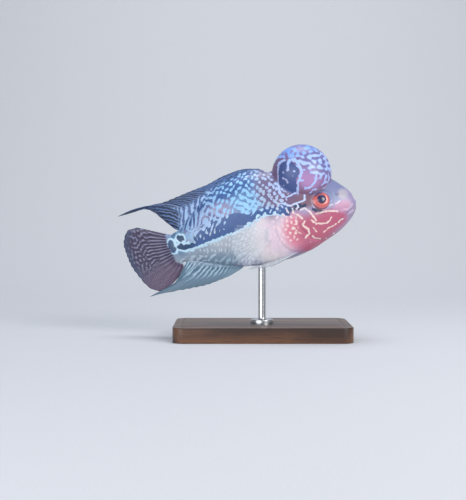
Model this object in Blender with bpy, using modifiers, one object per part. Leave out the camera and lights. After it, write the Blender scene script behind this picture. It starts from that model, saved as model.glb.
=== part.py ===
"""Flowerhorn cichlid, a life-size still model of a 188 mm fish on a display stand.

The fish is drawn straight: the tip of its lips is at the origin, its tail runs along -X, +Z is
its back and +Y its left side. pose() then arches and swings that shape, and an empty pitches it
nose up above its stand. Distances behind the lips are called reach, heights above the body's
axis are called rise, and sideways distances are called side.
"""

import math

import bmesh
import bpy
import numpy as np
from mathutils import Matrix, Vector

MM = 0.001
GAP = 0.3 * MM

# Driving sizes of the body
BODY_LENGTH = 150 * MM
TAIL_STALK_START = 133 * MM
STATIONS_MM = (
    # reach, rise of the back, depth of the belly, half width
    (0.6, 2.6, 3.4, 3.4),
    (2.5, 8.8, 7.8, 6.6),
    (9.0, 16.2, 14.4, 9.8),
    (17.0, 23.0, 20.0, 12.4),
    (28.0, 28.0, 25.2, 14.6),
    (42.0, 33.0, 31.2, 16.4),
    (60.0, 36.4, 35.2, 17.0),
    (78.0, 37.6, 36.6, 16.2),
    (94.0, 35.4, 35.4, 14.2),
    (107.0, 31.0, 32.6, 11.8),
    (118.0, 25.6, 28.4, 9.4),
    (130.0, 18.6, 21.6, 7.0),
    (141.0, 13.2, 15.2, 5.2),
    (150.0, 12.0, 12.6, 4.2),
)
BACK_TAPER = 1.12
BELLY_TAPER = 0.86
SIDES_ROUND = 36

# Gill cover: its free edge parts the head from the trunk, from the throat (-1) up to the nape (1)
GILL_EDGE_MM = ((-1, 41), (-0.8, 56.5), (-0.45, 64), (-0.2, 65), (0.1, 61.5), (0.45, 58.5), (1, 63))
GILL_FLARE = 0.8 * MM
GILL_CAP = 57 * MM

# Pose
PITCH = math.radians(10)
ARCH = math.radians(14)
ARCH_START, ARCH_END = 78 * MM, 128 * MM
SWING_AT_LIPS, SWING_AT_TAIL = math.radians(2), math.radians(12)
SWING_END = 190 * MM
ROD_REACH = 75 * MM
LIPS_AT = Vector((74.4 * MM, 0.0, 108 * MM))

# Stand
BASE_SIZE = Vector((140 * MM, 84 * MM, 12 * MM))
BASE_CORNER, BASE_EDGE = 9 * MM, 1.5 * MM
ROD_RADIUS = 3 * MM
FLANGE_RADIUS, FLANGE_HEIGHT = 9 * MM, 3 * MM

SKIN_PALE = (0.62, 0.72, 0.76)
SKIN_RED = (0.74, 0.30, 0.32)
SKIN_MAROON = (0.46, 0.30, 0.36)
FIN_GREY = (0.40, 0.42, 0.50)
FIN_CLEAR = (0.72, 0.74, 0.78)
EYE_ORANGE = (0.85, 0.28, 0.14)
WALNUT = (0.10, 0.065, 0.045)
STEEL = (0.62, 0.62, 0.64)


def clear_scene():
    for obj in list(bpy.data.objects):
        bpy.data.objects.remove(obj)


def material(name, colour, roughness, metallic=0.0):
    """A Principled BSDF, made once for each name."""
    found = bpy.data.materials.get(name)
    if found:
        return found
    made = bpy.data.materials.new(name)
    made.use_nodes = True
    shader = made.node_tree.nodes["Principled BSDF"]
    shader.inputs["Base Color"].default_value = (*colour, 1.0)
    shader.inputs["Roughness"].default_value = roughness
    shader.inputs["Metallic"].default_value = metallic
    return made


def smooth_curve(at, places, values):
    """A curve through the points that never overshoots them, with a slope of its own at each."""
    places, values = np.asarray(places, float), np.asarray(values, float)
    step = np.diff(places)
    slope = np.diff(values) / step
    ends = np.concatenate([[slope[0]], slope, [slope[-1]]])
    before, after = ends[:-1], ends[1:]
    same_way = before * after > 0
    tangent = np.where(same_way, 2 * before * after / np.where(same_way, before + after, 1), 0)
    at = np.clip(at, places[0], places[-1])
    k = np.clip(np.searchsorted(places, at, side="right") - 1, 0, len(step) - 1)
    t = (at - places[k]) / step[k]
    start = (1 + 2 * t) * (1 - t) ** 2 * values[k] + t * (1 - t) ** 2 * step[k] * tangent[k]
    return start + t * t * (3 - 2 * t) * values[k + 1] + t * t * (t - 1) * step[k] * tangent[k + 1]


def ease(value, low, high):
    t = np.clip((value - low) / (high - low), 0, 1)
    return t * t * (3 - 2 * t)


# Body surface

STATIONS = np.array(STATIONS_MM) * MM


def section(reach):
    """Rise of the back, depth of the belly and half width at a distance behind the lips."""
    return [smooth_curve(reach, STATIONS[:, 0], STATIONS[:, k]) for k in (1, 2, 3)]


def skin_point(reach, angle, swell=0.0):
    """A point of the skin in the straight fish. Angle 0 is the left flank and 90 degrees the back."""
    back, belly, half = section(reach)
    across, up = math.cos(angle), math.sin(angle)
    taper = BACK_TAPER if up > 0 else BELLY_TAPER
    side = math.copysign(abs(across) ** taper, across) * (half + swell)
    rise = up * ((back if up > 0 else belly) + swell)
    return Vector((-reach, side, rise))


def flank_side(reach, rise):
    """Half width of the body at a height above or below its axis."""
    back, belly, half = section(reach)
    up = min(1.0, abs(rise) / (back if rise > 0 else belly))
    taper = BACK_TAPER if rise > 0 else BELLY_TAPER
    return half * math.sqrt(1 - up * up) ** taper


def gill_reach(angle):
    """How far back the gill cover's free edge lies, round the body."""
    heights, reaches = zip(*GILL_EDGE_MM)
    return float(smooth_curve(math.sin(angle), heights, reaches)) * MM


def gill_flare(angle):
    """How far the free edge stands off the trunk: nothing at the nape and the throat."""
    up = math.sin(angle)
    return GILL_FLARE * float(ease(up, -0.98, -0.7) * (1 - ease(up, 0.2, 0.5)))


ANGLES = [2 * math.pi * k / SIDES_ROUND for k in range(SIDES_ROUND)]


def loft(name, rings, front, back):
    """A closed mesh through rings of points, each end closed by a fan to one point."""
    mesh = bmesh.new()
    rows = [[mesh.verts.new(point) for point in ring] for ring in rings]
    count = len(rows[0])
    for near, far in zip(rows, rows[1:]):
        for k in range(count):
            m = (k + 1) % count
            mesh.faces.new((near[k], near[m], far[m], far[k]))
    for row, centre, turn in ((rows[0], front, -1), (rows[-1], back, 1)):
        tip = mesh.verts.new(centre)
        for k in range(count):
            pair = (row[k], row[(k + 1) % count])[::turn]
            mesh.faces.new((*pair, tip))
    bmesh.ops.triangulate(mesh, faces=mesh.faces[:])
    bmesh.ops.recalc_face_normals(mesh, faces=mesh.faces[:])
    data = bpy.data.meshes.new(name)
    mesh.to_mesh(data)
    mesh.free()
    return bpy.data.objects.new(name, data)


def head_rings(shares):
    """Rings from the lips to the gill cover's edge, which flares over the trunk."""
    rings = []
    first = STATIONS[0, 0]
    for share in shares:
        flare = float(ease(share, 0.86, 1.0))
        rings.append(
            [
                skin_point(first + share * (gill_reach(a) - first), a, flare * gill_flare(a))
                for a in ANGLES
            ]
        )
    return rings


def trunk_rings(shares, start_gap):
    """Rings from the gill cover's edge to the tail stalk."""
    return [
        [
            skin_point(start + share * (TAIL_STALK_START - start), a)
            for a in ANGLES
            for start in [gill_reach(a) + start_gap]
        ]
        for share in shares
    ]


def on_axis(reach):
    return Vector((-reach, 0.0, 0.0))


def body_clearance(name, swell):
    """The whole body a little larger, which cuts what grows from it clear of the skin."""
    reaches = np.concatenate([[0.6, 1.4, 2.5, 4, 6, 9], np.arange(12, 151, 3)]) * MM
    rings = [[skin_point(reach, a, swell) for a in ANGLES] for reach in reaches]
    return loft(name, rings, on_axis(-0.2 * MM), on_axis(BODY_LENGTH + 0.6 * MM))


# Boolean work and finishing

def link(obj, collection):
    collection.objects.link(obj)
    return obj


def settle(obj):
    """Replaces the object's data by what its modifiers make of it, as one welded mesh."""
    bpy.context.view_layer.update()
    graph = bpy.context.evaluated_depsgraph_get()
    made = bpy.data.meshes.new_from_object(obj.evaluated_get(graph))
    mesh = bmesh.new()
    mesh.from_mesh(made)
    bmesh.ops.remove_doubles(mesh, verts=mesh.verts[:], dist=0.00001)
    bmesh.ops.triangulate(mesh, faces=mesh.faces[:])
    mesh.to_mesh(made)
    mesh.free()
    if obj.type == "MESH":
        obj.modifiers.clear()
        obj.data = made
        return obj
    new = bpy.data.objects.new(obj.name + "_mesh", made)
    new.matrix_world = obj.matrix_world
    for collection in obj.users_collection:
        collection.objects.link(new)
    bpy.data.objects.remove(obj)
    return new


def boolean(obj, operation, others):
    """Joins or cuts a mesh by a list of closed meshes, and removes those."""
    group = bpy.data.collections.new("pieces")
    for other in others:
        group.objects.link(other)
    change = obj.modifiers.new(operation.lower(), "BOOLEAN")
    change.operation = operation
    change.operand_type = "COLLECTION"
    change.collection = group
    change.solver = "EXACT"
    settle(obj)
    for other in others:
        bpy.data.objects.remove(other)
    bpy.data.collections.remove(group)
    return keep_largest(obj)


def keep_largest(obj):
    """Leaves the largest closed surface of a mesh."""
    mesh = bmesh.new()
    mesh.from_mesh(obj.data)
    unseen, islands = set(mesh.verts), []
    while unseen:
        island, edge = set(), [unseen.pop()]
        while edge:
            vert = edge.pop()
            island.add(vert)
            for link_edge in vert.link_edges:
                other = link_edge.other_vert(vert)
                if other in unseen:
                    unseen.discard(other)
                    edge.append(other)
        islands.append(island)
    largest = max(islands, key=len)
    bmesh.ops.delete(mesh, geom=[v for v in mesh.verts if v not in largest], context="VERTS")
    mesh.to_mesh(obj.data)
    mesh.free()
    return obj


def tube(name, points, radii, sides=2):
    """A tapering round bar along a smooth line, as a closed mesh."""
    curve = bpy.data.curves.new(name, "CURVE")
    curve.dimensions = "3D"
    curve.bevel_depth = 1.0
    curve.bevel_resolution = sides
    curve.use_fill_caps = True
    spline = curve.splines.new("POLY")
    spline.points.add(len(points) - 1)
    for place, point, radius in zip(spline.points, points, radii):
        place.co = (*point, 1.0)
        place.radius = radius
    obj = bpy.data.objects.new(name, curve)
    link(obj, bpy.context.scene.collection)
    return settle(obj)


def ball(name, centre, half_sizes, turn=None, around=24, along=14):
    """An ellipsoid as a closed mesh, with its poles along its own Z axis."""
    mesh = bmesh.new()
    bmesh.ops.create_uvsphere(mesh, u_segments=around, v_segments=along, radius=1.0)
    place = Matrix.Translation(centre) @ (turn or Matrix.Identity(4)) @ Matrix.Diagonal((*half_sizes, 1.0))
    bmesh.ops.transform(mesh, matrix=place, verts=mesh.verts[:])
    bmesh.ops.triangulate(mesh, faces=mesh.faces[:])
    data = bpy.data.meshes.new(name)
    mesh.to_mesh(data)
    mesh.free()
    return link(bpy.data.objects.new(name, data), bpy.context.scene.collection)


# Pose

def spine_table():
    """Where the axis runs once the fish is arched and swung, and how it slopes, by reach."""
    step = 0.5 * MM
    reach = np.arange(-10 * MM, 240 * MM, step)
    drop = ARCH * ease(reach, ARCH_START, ARCH_END)
    swing = SWING_AT_LIPS + (SWING_AT_TAIL - SWING_AT_LIPS) * ease(reach, 0, SWING_END)
    back = -np.cos(drop) * np.cos(swing) * step
    side = np.sin(swing) * step
    down = -np.sin(drop) * np.cos(swing) * step
    line = np.cumsum(np.stack([back, side, down], 1), 0)
    line -= [np.interp(0.0, reach, line[:, k]) for k in range(3)]
    line[:, 1] -= np.interp(ROD_REACH, reach, line[:, 1])
    return reach, line, drop, swing


SPINE = spine_table()


def pose(point):
    """Carries a point of the straight fish to its place in the arched and swung one."""
    reach, line, drop, swing = SPINE
    at = -point[0]
    centre = Vector([np.interp(at, reach, line[:, k]) for k in range(3)])
    down = float(np.interp(at, reach, drop))
    turn = float(np.interp(at, reach, swing))
    left = Vector((math.sin(turn), math.cos(turn), 0.0))
    up = Vector((-math.sin(down) * math.cos(turn), math.sin(down) * math.sin(turn), math.cos(down)))
    return centre + left * point[1] + up * point[2]


def pose_mesh(obj):
    for vert in obj.data.vertices:
        vert.co = pose(vert.co)
    obj.data.update()


def finish(obj, name, look, parent, collection, posed=True):
    """Names a piece, poses it, gives it its material and hangs it on its parent."""
    obj.name = name
    obj.data.name = name
    for group in list(obj.users_collection):
        group.objects.unlink(obj)
    collection.objects.link(obj)
    if posed:
        pose_mesh(obj)
    obj.parent = parent
    obj.data.materials.clear()
    obj.data.materials.append(look)
    obj.data.shade_smooth()
    obj.data.set_sharp_from_angle(angle=math.radians(40))
    return obj


# Head

EYE_REACH, EYE_RISE = 27.5 * MM, 6.7 * MM
EYE_RADIUS, EYE_DEPTH = 8.4 * MM, 4.4 * MM
EYE_OPENING = 7.2 * MM
EYE_FORWARD, EYE_UP = math.radians(9.5), math.radians(8.5)
LID_WIDTH, LID_HEIGHT, LID_SINK = 2.8 * MM, 0.8 * MM, 0.2 * MM
LID_FOLLOWS = 0.6
MOUTH_FRONT_REACH, MOUTH_FRONT_RISE = 1.2 * MM, -0.6 * MM
MOUTH_HALF_WIDTH, MOUTH_CORNER_RISE = 8.5 * MM, -6.6 * MM
UPPER_LIP, LOWER_LIP = 1.9 * MM, 2.3 * MM
MOUTH_SLIT = 0.3 * MM
NOSTRIL_REACH, NOSTRIL_RISE = 13.5 * MM, 9.5 * MM
NOSTRIL_RADIUS = 0.8 * MM


def eye_frame(left):
    """Where an eye's centre is, and the turn that points its own Z axis out of the head."""
    side = flank_side(EYE_REACH, EYE_RISE)
    sunk = EYE_DEPTH * math.sqrt(1 - (EYE_OPENING / EYE_RADIUS) ** 2)
    out = Vector((math.sin(EYE_FORWARD), left * math.cos(EYE_FORWARD), math.sin(EYE_UP))).normalized()
    rim = Vector((-EYE_REACH, left * (side - 0.2 * MM), EYE_RISE))
    return rim - out * sunk, out.to_track_quat("Z", "Y").to_matrix().to_4x4(), rim


def eyeball(name, left, swell=0.0):
    centre, turn, rim = eye_frame(left)
    sizes = (EYE_RADIUS + swell, EYE_RADIUS + swell, EYE_DEPTH + swell)
    return ball(name, centre, sizes, turn, 24, 12)


def lid_ring(left, swell=0.0, steps=24, sides=8):
    """The fold of skin round an eye, which follows the cheek part of the way."""
    centre, turn, rim = eye_frame(left)
    wide, high = LID_WIDTH / 2 + swell, LID_HEIGHT + swell
    out = turn.to_3x3() @ Vector((0, 0, 1))
    rings = []
    for k in range(steps):
        a = 2 * math.pi * k / steps
        outward = turn.to_3x3() @ Vector((math.cos(a), math.sin(a), 0))
        middle = rim + outward * (EYE_OPENING + 0.35 * LID_WIDTH) - out * LID_SINK
        cheek = left * flank_side(-middle.x, middle.z)
        middle.y += LID_FOLLOWS * (cheek - middle.y)
        slant = [2 * math.pi * m / sides for m in range(sides)]
        rings.append([middle + outward * (math.cos(b) * wide) + out * (math.sin(b) * high) for b in slant])
    mesh = bmesh.new()
    rows = [[mesh.verts.new(point) for point in ring] for ring in rings]
    for near, far in zip(rows, rows[1:] + rows[:1]):
        for m in range(sides):
            n = (m + 1) % sides
            mesh.faces.new((near[m], far[m], far[n], near[n]))
    bmesh.ops.triangulate(mesh, faces=mesh.faces[:])
    bmesh.ops.recalc_face_normals(mesh, faces=mesh.faces[:])
    data = bpy.data.meshes.new("lid")
    mesh.to_mesh(data)
    mesh.free()
    return link(bpy.data.objects.new("lid", data), bpy.context.scene.collection)


def mouth_point(turn):
    """A point of the closed mouth's line, from the left corner at -90 degrees round to the right."""
    across = abs(math.sin(turn))
    side = MOUTH_HALF_WIDTH * across
    rise = MOUTH_FRONT_RISE + (MOUTH_CORNER_RISE - MOUTH_FRONT_RISE) * across**2.2
    reaches = np.linspace(0, 14 * MM, 60)
    sides = [flank_side(reach, rise) * min(1, reach / STATIONS[0, 0]) for reach in reaches]
    reach = MOUTH_FRONT_REACH + np.interp(side, sides, reaches)
    return Vector((-reach, math.copysign(side, -turn), rise))


def lip(name, lift, high, deep, sink, steps=20, sides=10):
    """A bar of oval section that runs round the snout beside the mouth's line, thin at the corners.

    The lift moves its middle off that line, and the sink moves it into the head.
    """
    rings, ends = [], []
    for k in range(steps + 1):
        turn = math.radians(88) * (2 * k / steps - 1)
        along = (mouth_point(turn + 0.02) - mouth_point(turn - 0.02)).normalized()
        up = Vector((0, 0, 1))
        out = along.cross(up).normalized()
        out = out if out.x > 0 or out.y * math.sin(turn) < 0 else -out
        up = out.cross(along).normalized()
        up = up if up.z > 0 else -up
        size = 0.45 + 0.55 * math.cos(turn) ** 0.6
        middle = mouth_point(turn) - out * sink + up * lift * size
        round_steps = [2 * math.pi * m / sides for m in range(sides)]
        rings.append(
            [
                middle + out * (math.cos(a) * deep * size) + up * (math.sin(a) * high * size)
                for a in round_steps
            ]
        )
        ends.append(middle)
    return link(loft(name, rings, ends[0], ends[-1]), bpy.context.scene.collection)


def nostril_frame(left):
    side = flank_side(NOSTRIL_REACH, NOSTRIL_RISE)
    centre = Vector((-NOSTRIL_REACH, left * side, NOSTRIL_RISE))
    return centre, Vector((0.45, left * 0.8, 0.45)).normalized()


def make_head():
    """Head with its lips, lids and nostrils, cut for the eyes."""
    shares = [0, 0.013, 0.032, 0.06, 0.1, 0.145, 0.19, 0.24, 0.29, 0.34, 0.39, 0.44, 0.5]
    shares += [0.56, 0.63, 0.7, 0.77, 0.84, 0.9, 0.95, 1]
    head = loft("head", head_rings(shares), on_axis(-0.1 * MM), on_axis(GILL_CAP))
    link(head, bpy.context.scene.collection)
    pieces = [
        lip("upper_lip", UPPER_LIP, UPPER_LIP, 2.1 * MM, 0.4 * MM),
        lip("lower_lip", -LOWER_LIP, LOWER_LIP, 2.2 * MM, 1.1 * MM),
    ]
    cuts = [lip("mouth_slit", 0, MOUTH_SLIT, 2.6 * MM, 0.2 * MM)]
    for left in (1, -1):
        pieces.append(lid_ring(left))
        cuts.append(eyeball("socket", left, GAP))
        centre, out = nostril_frame(left)
        turn = out.to_track_quat("Z", "Y").to_matrix().to_4x4()
        pieces.append(ball("nostril_rim", centre, [1.6 * MM, 1.6 * MM, 0.6 * MM], turn, 12, 6))
        cuts.append(ball("nostril", centre + out * 0.6 * MM, [NOSTRIL_RADIUS] * 2 + [1.6 * MM], turn, 10, 6))
    boolean(head, "UNION", pieces)
    return boolean(head, "DIFFERENCE", cuts)


# Nuchal hump

HUMP_REACH, HUMP_RISE = 38.4 * MM, 30.0 * MM
HUMP_RADIUS, HUMP_HALF_WIDTH = 23.7 * MM, 19.6 * MM


def make_hump():
    """The ball of fat on the forehead, cut to sit on the head."""
    hump = ball(
        "nuchal_hump",
        Vector((-HUMP_REACH, 0, HUMP_RISE)),
        (HUMP_RADIUS, HUMP_HALF_WIDTH, HUMP_RADIUS),
        around=32,
        along=20,
    )
    cuts = [link(body_clearance("clearance", 1.3 * GAP), bpy.context.scene.collection)]
    for left in (1, -1):
        cuts += [lid_ring(left, 1.3 * GAP), eyeball("socket", left, 1.5 * GAP)]
    return boolean(hump, "DIFFERENCE", cuts)


# Trunk and tail stalk

def make_trunk():
    shares = [0, 0.05, 0.12, 0.2, 0.28, 0.36, 0.44, 0.52, 0.6, 0.68, 0.76, 0.84, 0.92, 1]
    rings = trunk_rings(shares, GAP * 1.3)
    return loft("trunk", rings, on_axis(GILL_CAP + GAP * 1.3), on_axis(TAIL_STALK_START))


def make_tail_stalk():
    start = TAIL_STALK_START + GAP
    rings = [
        [skin_point(start + share * (BODY_LENGTH - start), a) for a in ANGLES]
        for share in (0, 0.25, 0.5, 0.75, 1)
    ]
    return loft("tail_stalk", rings, on_axis(start), on_axis(BODY_LENGTH))


# Fins

RAY_THICK, MEMBRANE_THICK = 1.2 * MM, 0.5 * MM
TIP_THICK = 0.3 * MM


def fin(name, roots, tips, rows, root_thick, bow, notch=0.03, rayed=True):
    """A fin of rays and membrane: one sheet whose columns are rays and the webs between them.

    The roots and tips are points of the straight fish, one pair for each ray. The bow lifts the
    middle of each ray, and the notch shortens the web between two rays. Solidify gives the sheet
    its thickness, more along the rays than between them.
    """
    count = len(roots)
    columns = []
    for k in range(2 * count - 1):
        near, far = k // 2, (k + 1) // 2
        root = (roots[near] + roots[far]) / 2
        tip = (tips[near] + tips[far]) / 2
        if near != far:
            tip = tip + (root - tip) * notch
        bend = (bow[near] + bow[far]) / 2
        columns.append([root + (tip - root) * v + bend * (4 * v * (1 - v)) for v in rows])
    mesh = bmesh.new()
    grid = [[mesh.verts.new(point) for point in column] for column in columns]
    for near, far in zip(grid, grid[1:]):
        for k in range(len(rows) - 1):
            mesh.faces.new((near[k], far[k], far[k + 1]))
            mesh.faces.new((near[k], far[k + 1], near[k + 1]))
    data = bpy.data.meshes.new(name)
    mesh.to_mesh(data)
    mesh.free()
    sheet = link(bpy.data.objects.new(name, data), bpy.context.scene.collection)
    thickest = max(max(root_thick), RAY_THICK)
    group = sheet.vertex_groups.new(name="thickness")
    for k, column in enumerate(columns):
        ridge = RAY_THICK if rayed and k % 2 == 0 else MEMBRANE_THICK
        for m, v in enumerate(rows):
            along = ridge + (TIP_THICK - ridge) * v**3
            root = root_thick[k]
            thick = along + (root - along) * (1 - ease(v, 0.0, 0.3)) if root > along else along
            group.add([k * len(rows) + m], float(thick / thickest), "REPLACE")
    shell = sheet.modifiers.new("thickness", "SOLIDIFY")
    shell.thickness = thickest
    shell.offset = 0
    shell.vertex_group = "thickness"
    shell.use_even_offset = False
    return settle(sheet)


def curve_points(count, controls):
    """Points of the straight fish's middle plane, read at even steps from (share, reach, rise) controls."""
    controls = np.array(controls)
    shares = np.linspace(0, 1, count)
    reach = smooth_curve(shares, controls[:, 0], controls[:, 1]) * MM
    rise = smooth_curve(shares, controls[:, 0], controls[:, 2]) * MM
    return [Vector((-r, 0.0, z)) for r, z in zip(reach, rise)]


DORSAL_RAYS = 28
DORSAL_START, DORSAL_END = 65.5 * MM, 141.5 * MM
DORSAL_BOW, STREAMER_BOW, STREAMER_RAY = 0.06, 0.08, 22
DORSAL_TIPS = (
    (0.0, 72, 40.4),
    (0.148, 84, 42.2),
    (0.296, 97, 40.4),
    (0.444, 111, 37.4),
    (0.592, 128, 37.9),
    (0.704, 144, 38.5),
    (0.778, 158, 40.6),
    (22 / 27, 184.5, 43.2),
    (23 / 27, 162, 40.0),
    (0.889, 156, 35.2),
    (0.944, 151, 26.0),
    (1.0, 145, 15.0),
)
ANAL_RAYS = 17
ANAL_START, ANAL_END = 99 * MM, 146.5 * MM
ANAL_TIPS = (
    (0.0, 107, -36.0),
    (0.1875, 120, -37.7),
    (0.375, 136, -37.2),
    (0.5625, 153, -34.2),
    (0.6875, 166, -31.2),
    (0.75, 186, -27.3),
    (0.8125, 166, -26.4),
    (0.875, 159.5, -23.6),
    (1.0, 150.5, -16.8),
)
TAIL_RAYS = 16
TAIL_TIPS = (
    (0.0, 173, 28.6),
    (0.067, 180.5, 29.6),
    (0.133, 185.6, 26.4),
    (0.267, 190.2, 18.6),
    (0.5, 191.4, 4.0),
    (0.733, 187.4, -13.8),
    (0.8, 183.8, -21.0),
    (0.867, 175.0, -27.0),
    (0.933, 165.0, -25.0),
    (1.0, 155.5, -21.0),
)
TAIL_CORNER_BOW = Vector((0.6, 0.0, -1.5)) * MM
FIN_ROWS = (0, 0.1, 0.25, 0.45, 0.65, 0.83, 1)


def make_dorsal_fin():
    """Seventeen spines and eleven soft rays, folded back, with the streamer of a grown male."""
    reaches = np.linspace(DORSAL_START, DORSAL_END, DORSAL_RAYS)
    roots = [Vector((-r, 0, section(r)[0] + GAP)) for r in reaches]
    tips = curve_points(DORSAL_RAYS, DORSAL_TIPS)
    for k, tip in enumerate(tips):
        tip.y = 2.5 * MM * (k / DORSAL_RAYS) ** 3
    bow = []
    for k, (root, tip) in enumerate(zip(roots, tips)):
        share = DORSAL_BOW + STREAMER_BOW * math.exp(-(((k - STREAMER_RAY) / 2.5) ** 2))
        bow.append((tip - root).cross(Vector((0, -1, 0))) * share)
    return fin("dorsal_fin", roots, tips, FIN_ROWS, [2.0 * MM] * (2 * DORSAL_RAYS - 1), bow)


def make_anal_fin():
    """Eight spines and nine soft rays, folded back under the tail stalk."""
    reaches = np.linspace(ANAL_START, ANAL_END, ANAL_RAYS)
    roots = [Vector((-r, 0, -section(r)[1] - GAP)) for r in reaches]
    tips = curve_points(ANAL_RAYS, ANAL_TIPS)
    for k, tip in enumerate(tips):
        tip.y = -3.0 * MM * (k / ANAL_RAYS) ** 2
    bow = [(tip - root).cross(Vector((0, 1, 0))) * 0.05 for root, tip in zip(roots, tips)]
    return fin("anal_fin", roots, tips, FIN_ROWS, [2.0 * MM] * (2 * ANAL_RAYS - 1), bow)


def make_tail_fin():
    """A rounded fan whose root carries on the end of the tail stalk."""
    reach = BODY_LENGTH
    back, belly, half = section(reach)
    inset = 0.35 * MM
    rises = np.linspace(back - inset, -belly + inset, TAIL_RAYS)
    roots = [Vector((-reach - GAP, 0, z)) for z in rises]
    tips = curve_points(TAIL_RAYS, TAIL_TIPS)
    for tip in tips:
        tip.y = 2.0 * MM * math.cos(tip.z / (28 * MM) * math.pi / 2)
    thick = []
    for k in range(2 * TAIL_RAYS - 1):
        z = (rises[k // 2] + rises[(k + 1) // 2]) / 2
        thick.append(max(2 * flank_side(reach, z), 0.9 * MM))
    bow = [Vector((0, 0, 0))] * (TAIL_RAYS - 2) + [TAIL_CORNER_BOW * 0.3, TAIL_CORNER_BOW]
    return fin("tail_fin", roots, tips, (0, 0.12, 0.26, 0.42, 0.58, 0.73, 0.87, 1), thick, bow, 0.012)


PECTORAL_RAYS = 13
PECTORAL_AT = (68.0 * MM, -12.0 * MM)
PECTORAL_LENGTH = 35 * MM


def make_pectoral_fin(left):
    """A thin round fan that stands a little off the flank, its fleshy root cut to the skin."""
    reach, rise = PECTORAL_AT
    side = flank_side(reach, rise)
    roots, tips, bow = [], [], []
    for k in range(PECTORAL_RAYS):
        share = k / (PECTORAL_RAYS - 1)
        root_reach = reach + 2.2 * MM * share
        root = Vector((-root_reach, left * (side - 1.6 * MM), rise + 4.0 * MM - 8.0 * MM * share))
        fan = math.radians(16 - 58 * share)
        out = math.radians(15)
        length = PECTORAL_LENGTH * (0.62 + 0.38 * math.sin(math.pi * (0.12 + 0.7 * share)) ** 0.8)
        way = Vector((-math.cos(fan) * math.cos(out), left * math.sin(out), math.sin(fan)))
        roots.append(root)
        tips.append(root + way * length)
        bow.append(Vector((0, left * 1.2 * MM, 0)))
    thick = [2.0 * MM] * (2 * PECTORAL_RAYS - 1)
    made = fin("pectoral_fin", roots, tips, (0, 0.09, 0.2, 0.36, 0.57, 0.78, 1), thick, bow, 0.015)
    clearance = link(body_clearance("clearance", GAP), bpy.context.scene.collection)
    return boolean(made, "DIFFERENCE", [clearance])


PELVIC_RAYS = 6
PELVIC_AT = (52.0 * MM, 5.2 * MM)
PELVIC_LENGTHS = (25, 47, 40, 33, 27, 21)


def make_pelvic_fin(left):
    """A narrow fin folded back along the belly: one spine, then five soft rays, the first longest."""
    reach, side = PELVIC_AT
    roots, tips, bow = [], [], []
    for k, length in enumerate(PELVIC_LENGTHS):
        share = k / (PELVIC_RAYS - 1)
        across = side + 3.4 * MM * (1 - share)
        depth = section(reach)[1] * 0.93
        root = Vector((-reach - 1.5 * MM * share, left * across, -depth + 1.2 * MM))
        spread = 2.6 * MM * (1 - 1.3 * share)
        drop = (6.6 + 1.8 * share) * MM
        tip = root + Vector((-length * MM, left * spread, -drop))
        roots.append(root)
        tips.append(tip)
        bow.append(Vector((0, 0, -0.9 * MM)))
    thick = [1.8 * MM] * (2 * PELVIC_RAYS - 1)
    made = fin("pelvic_fin", roots, tips, (0, 0.08, 0.18, 0.34, 0.56, 0.78, 1), thick, bow, 0.05)
    clearance = link(body_clearance("clearance", GAP), bpy.context.scene.collection)
    return boolean(made, "DIFFERENCE", [clearance])


# Stand

def make_base():
    bpy.ops.mesh.primitive_cube_add(size=1, location=(0, 0, BASE_SIZE.z / 2))
    base = bpy.context.object
    base.data.transform(Matrix.Diagonal((*BASE_SIZE, 1)))
    mesh = bmesh.new()
    mesh.from_mesh(base.data)
    upright = [e for e in mesh.edges if abs(e.verts[0].co.z - e.verts[1].co.z) > BASE_SIZE.z / 2]
    bmesh.ops.bevel(mesh, geom=upright, offset=BASE_CORNER, segments=6, affect="EDGES", profile=0.5)
    mesh.to_mesh(base.data)
    mesh.free()
    edges = base.modifiers.new("edges", "BEVEL")
    edges.width = BASE_EDGE
    edges.segments = 2
    edges.limit_method = "ANGLE"
    edges.angle_limit = math.radians(50)
    return base


def make_rod(fish):
    """A turned steel rod with a flange, its top cut to the belly."""
    top = LIPS_AT.z - 30 * MM
    foot = BASE_SIZE.z + GAP
    shoulder = 1.5 * MM
    profile = [
        (0, top),
        (ROD_RADIUS, top),
        (ROD_RADIUS, foot + FLANGE_HEIGHT + shoulder),
        (ROD_RADIUS + shoulder * 0.4, foot + FLANGE_HEIGHT + shoulder * 0.3),
        (ROD_RADIUS + shoulder, foot + FLANGE_HEIGHT),
        (FLANGE_RADIUS - 0.5 * MM, foot + FLANGE_HEIGHT),
        (FLANGE_RADIUS, foot + FLANGE_HEIGHT - 0.5 * MM),
        (FLANGE_RADIUS, foot),
        (0, foot),
    ]
    data = bpy.data.meshes.new("stand_rod")
    edges = [(k, k + 1) for k in range(len(profile) - 1)]
    data.from_pydata([(r, 0, z) for r, z in profile], edges, [])
    rod = link(bpy.data.objects.new("stand_rod", data), bpy.context.scene.collection)
    turn = rod.modifiers.new("turn", "SCREW")
    turn.steps = turn.render_steps = 24
    turn.use_merge_vertices = True
    turn.merge_threshold = 0.00005
    settle(rod)
    clearance = link(body_clearance("clearance", GAP), bpy.context.scene.collection)
    pose_mesh(clearance)
    clearance.data.transform(fish.matrix_world)
    return boolean(rod, "DIFFERENCE", [clearance])


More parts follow.
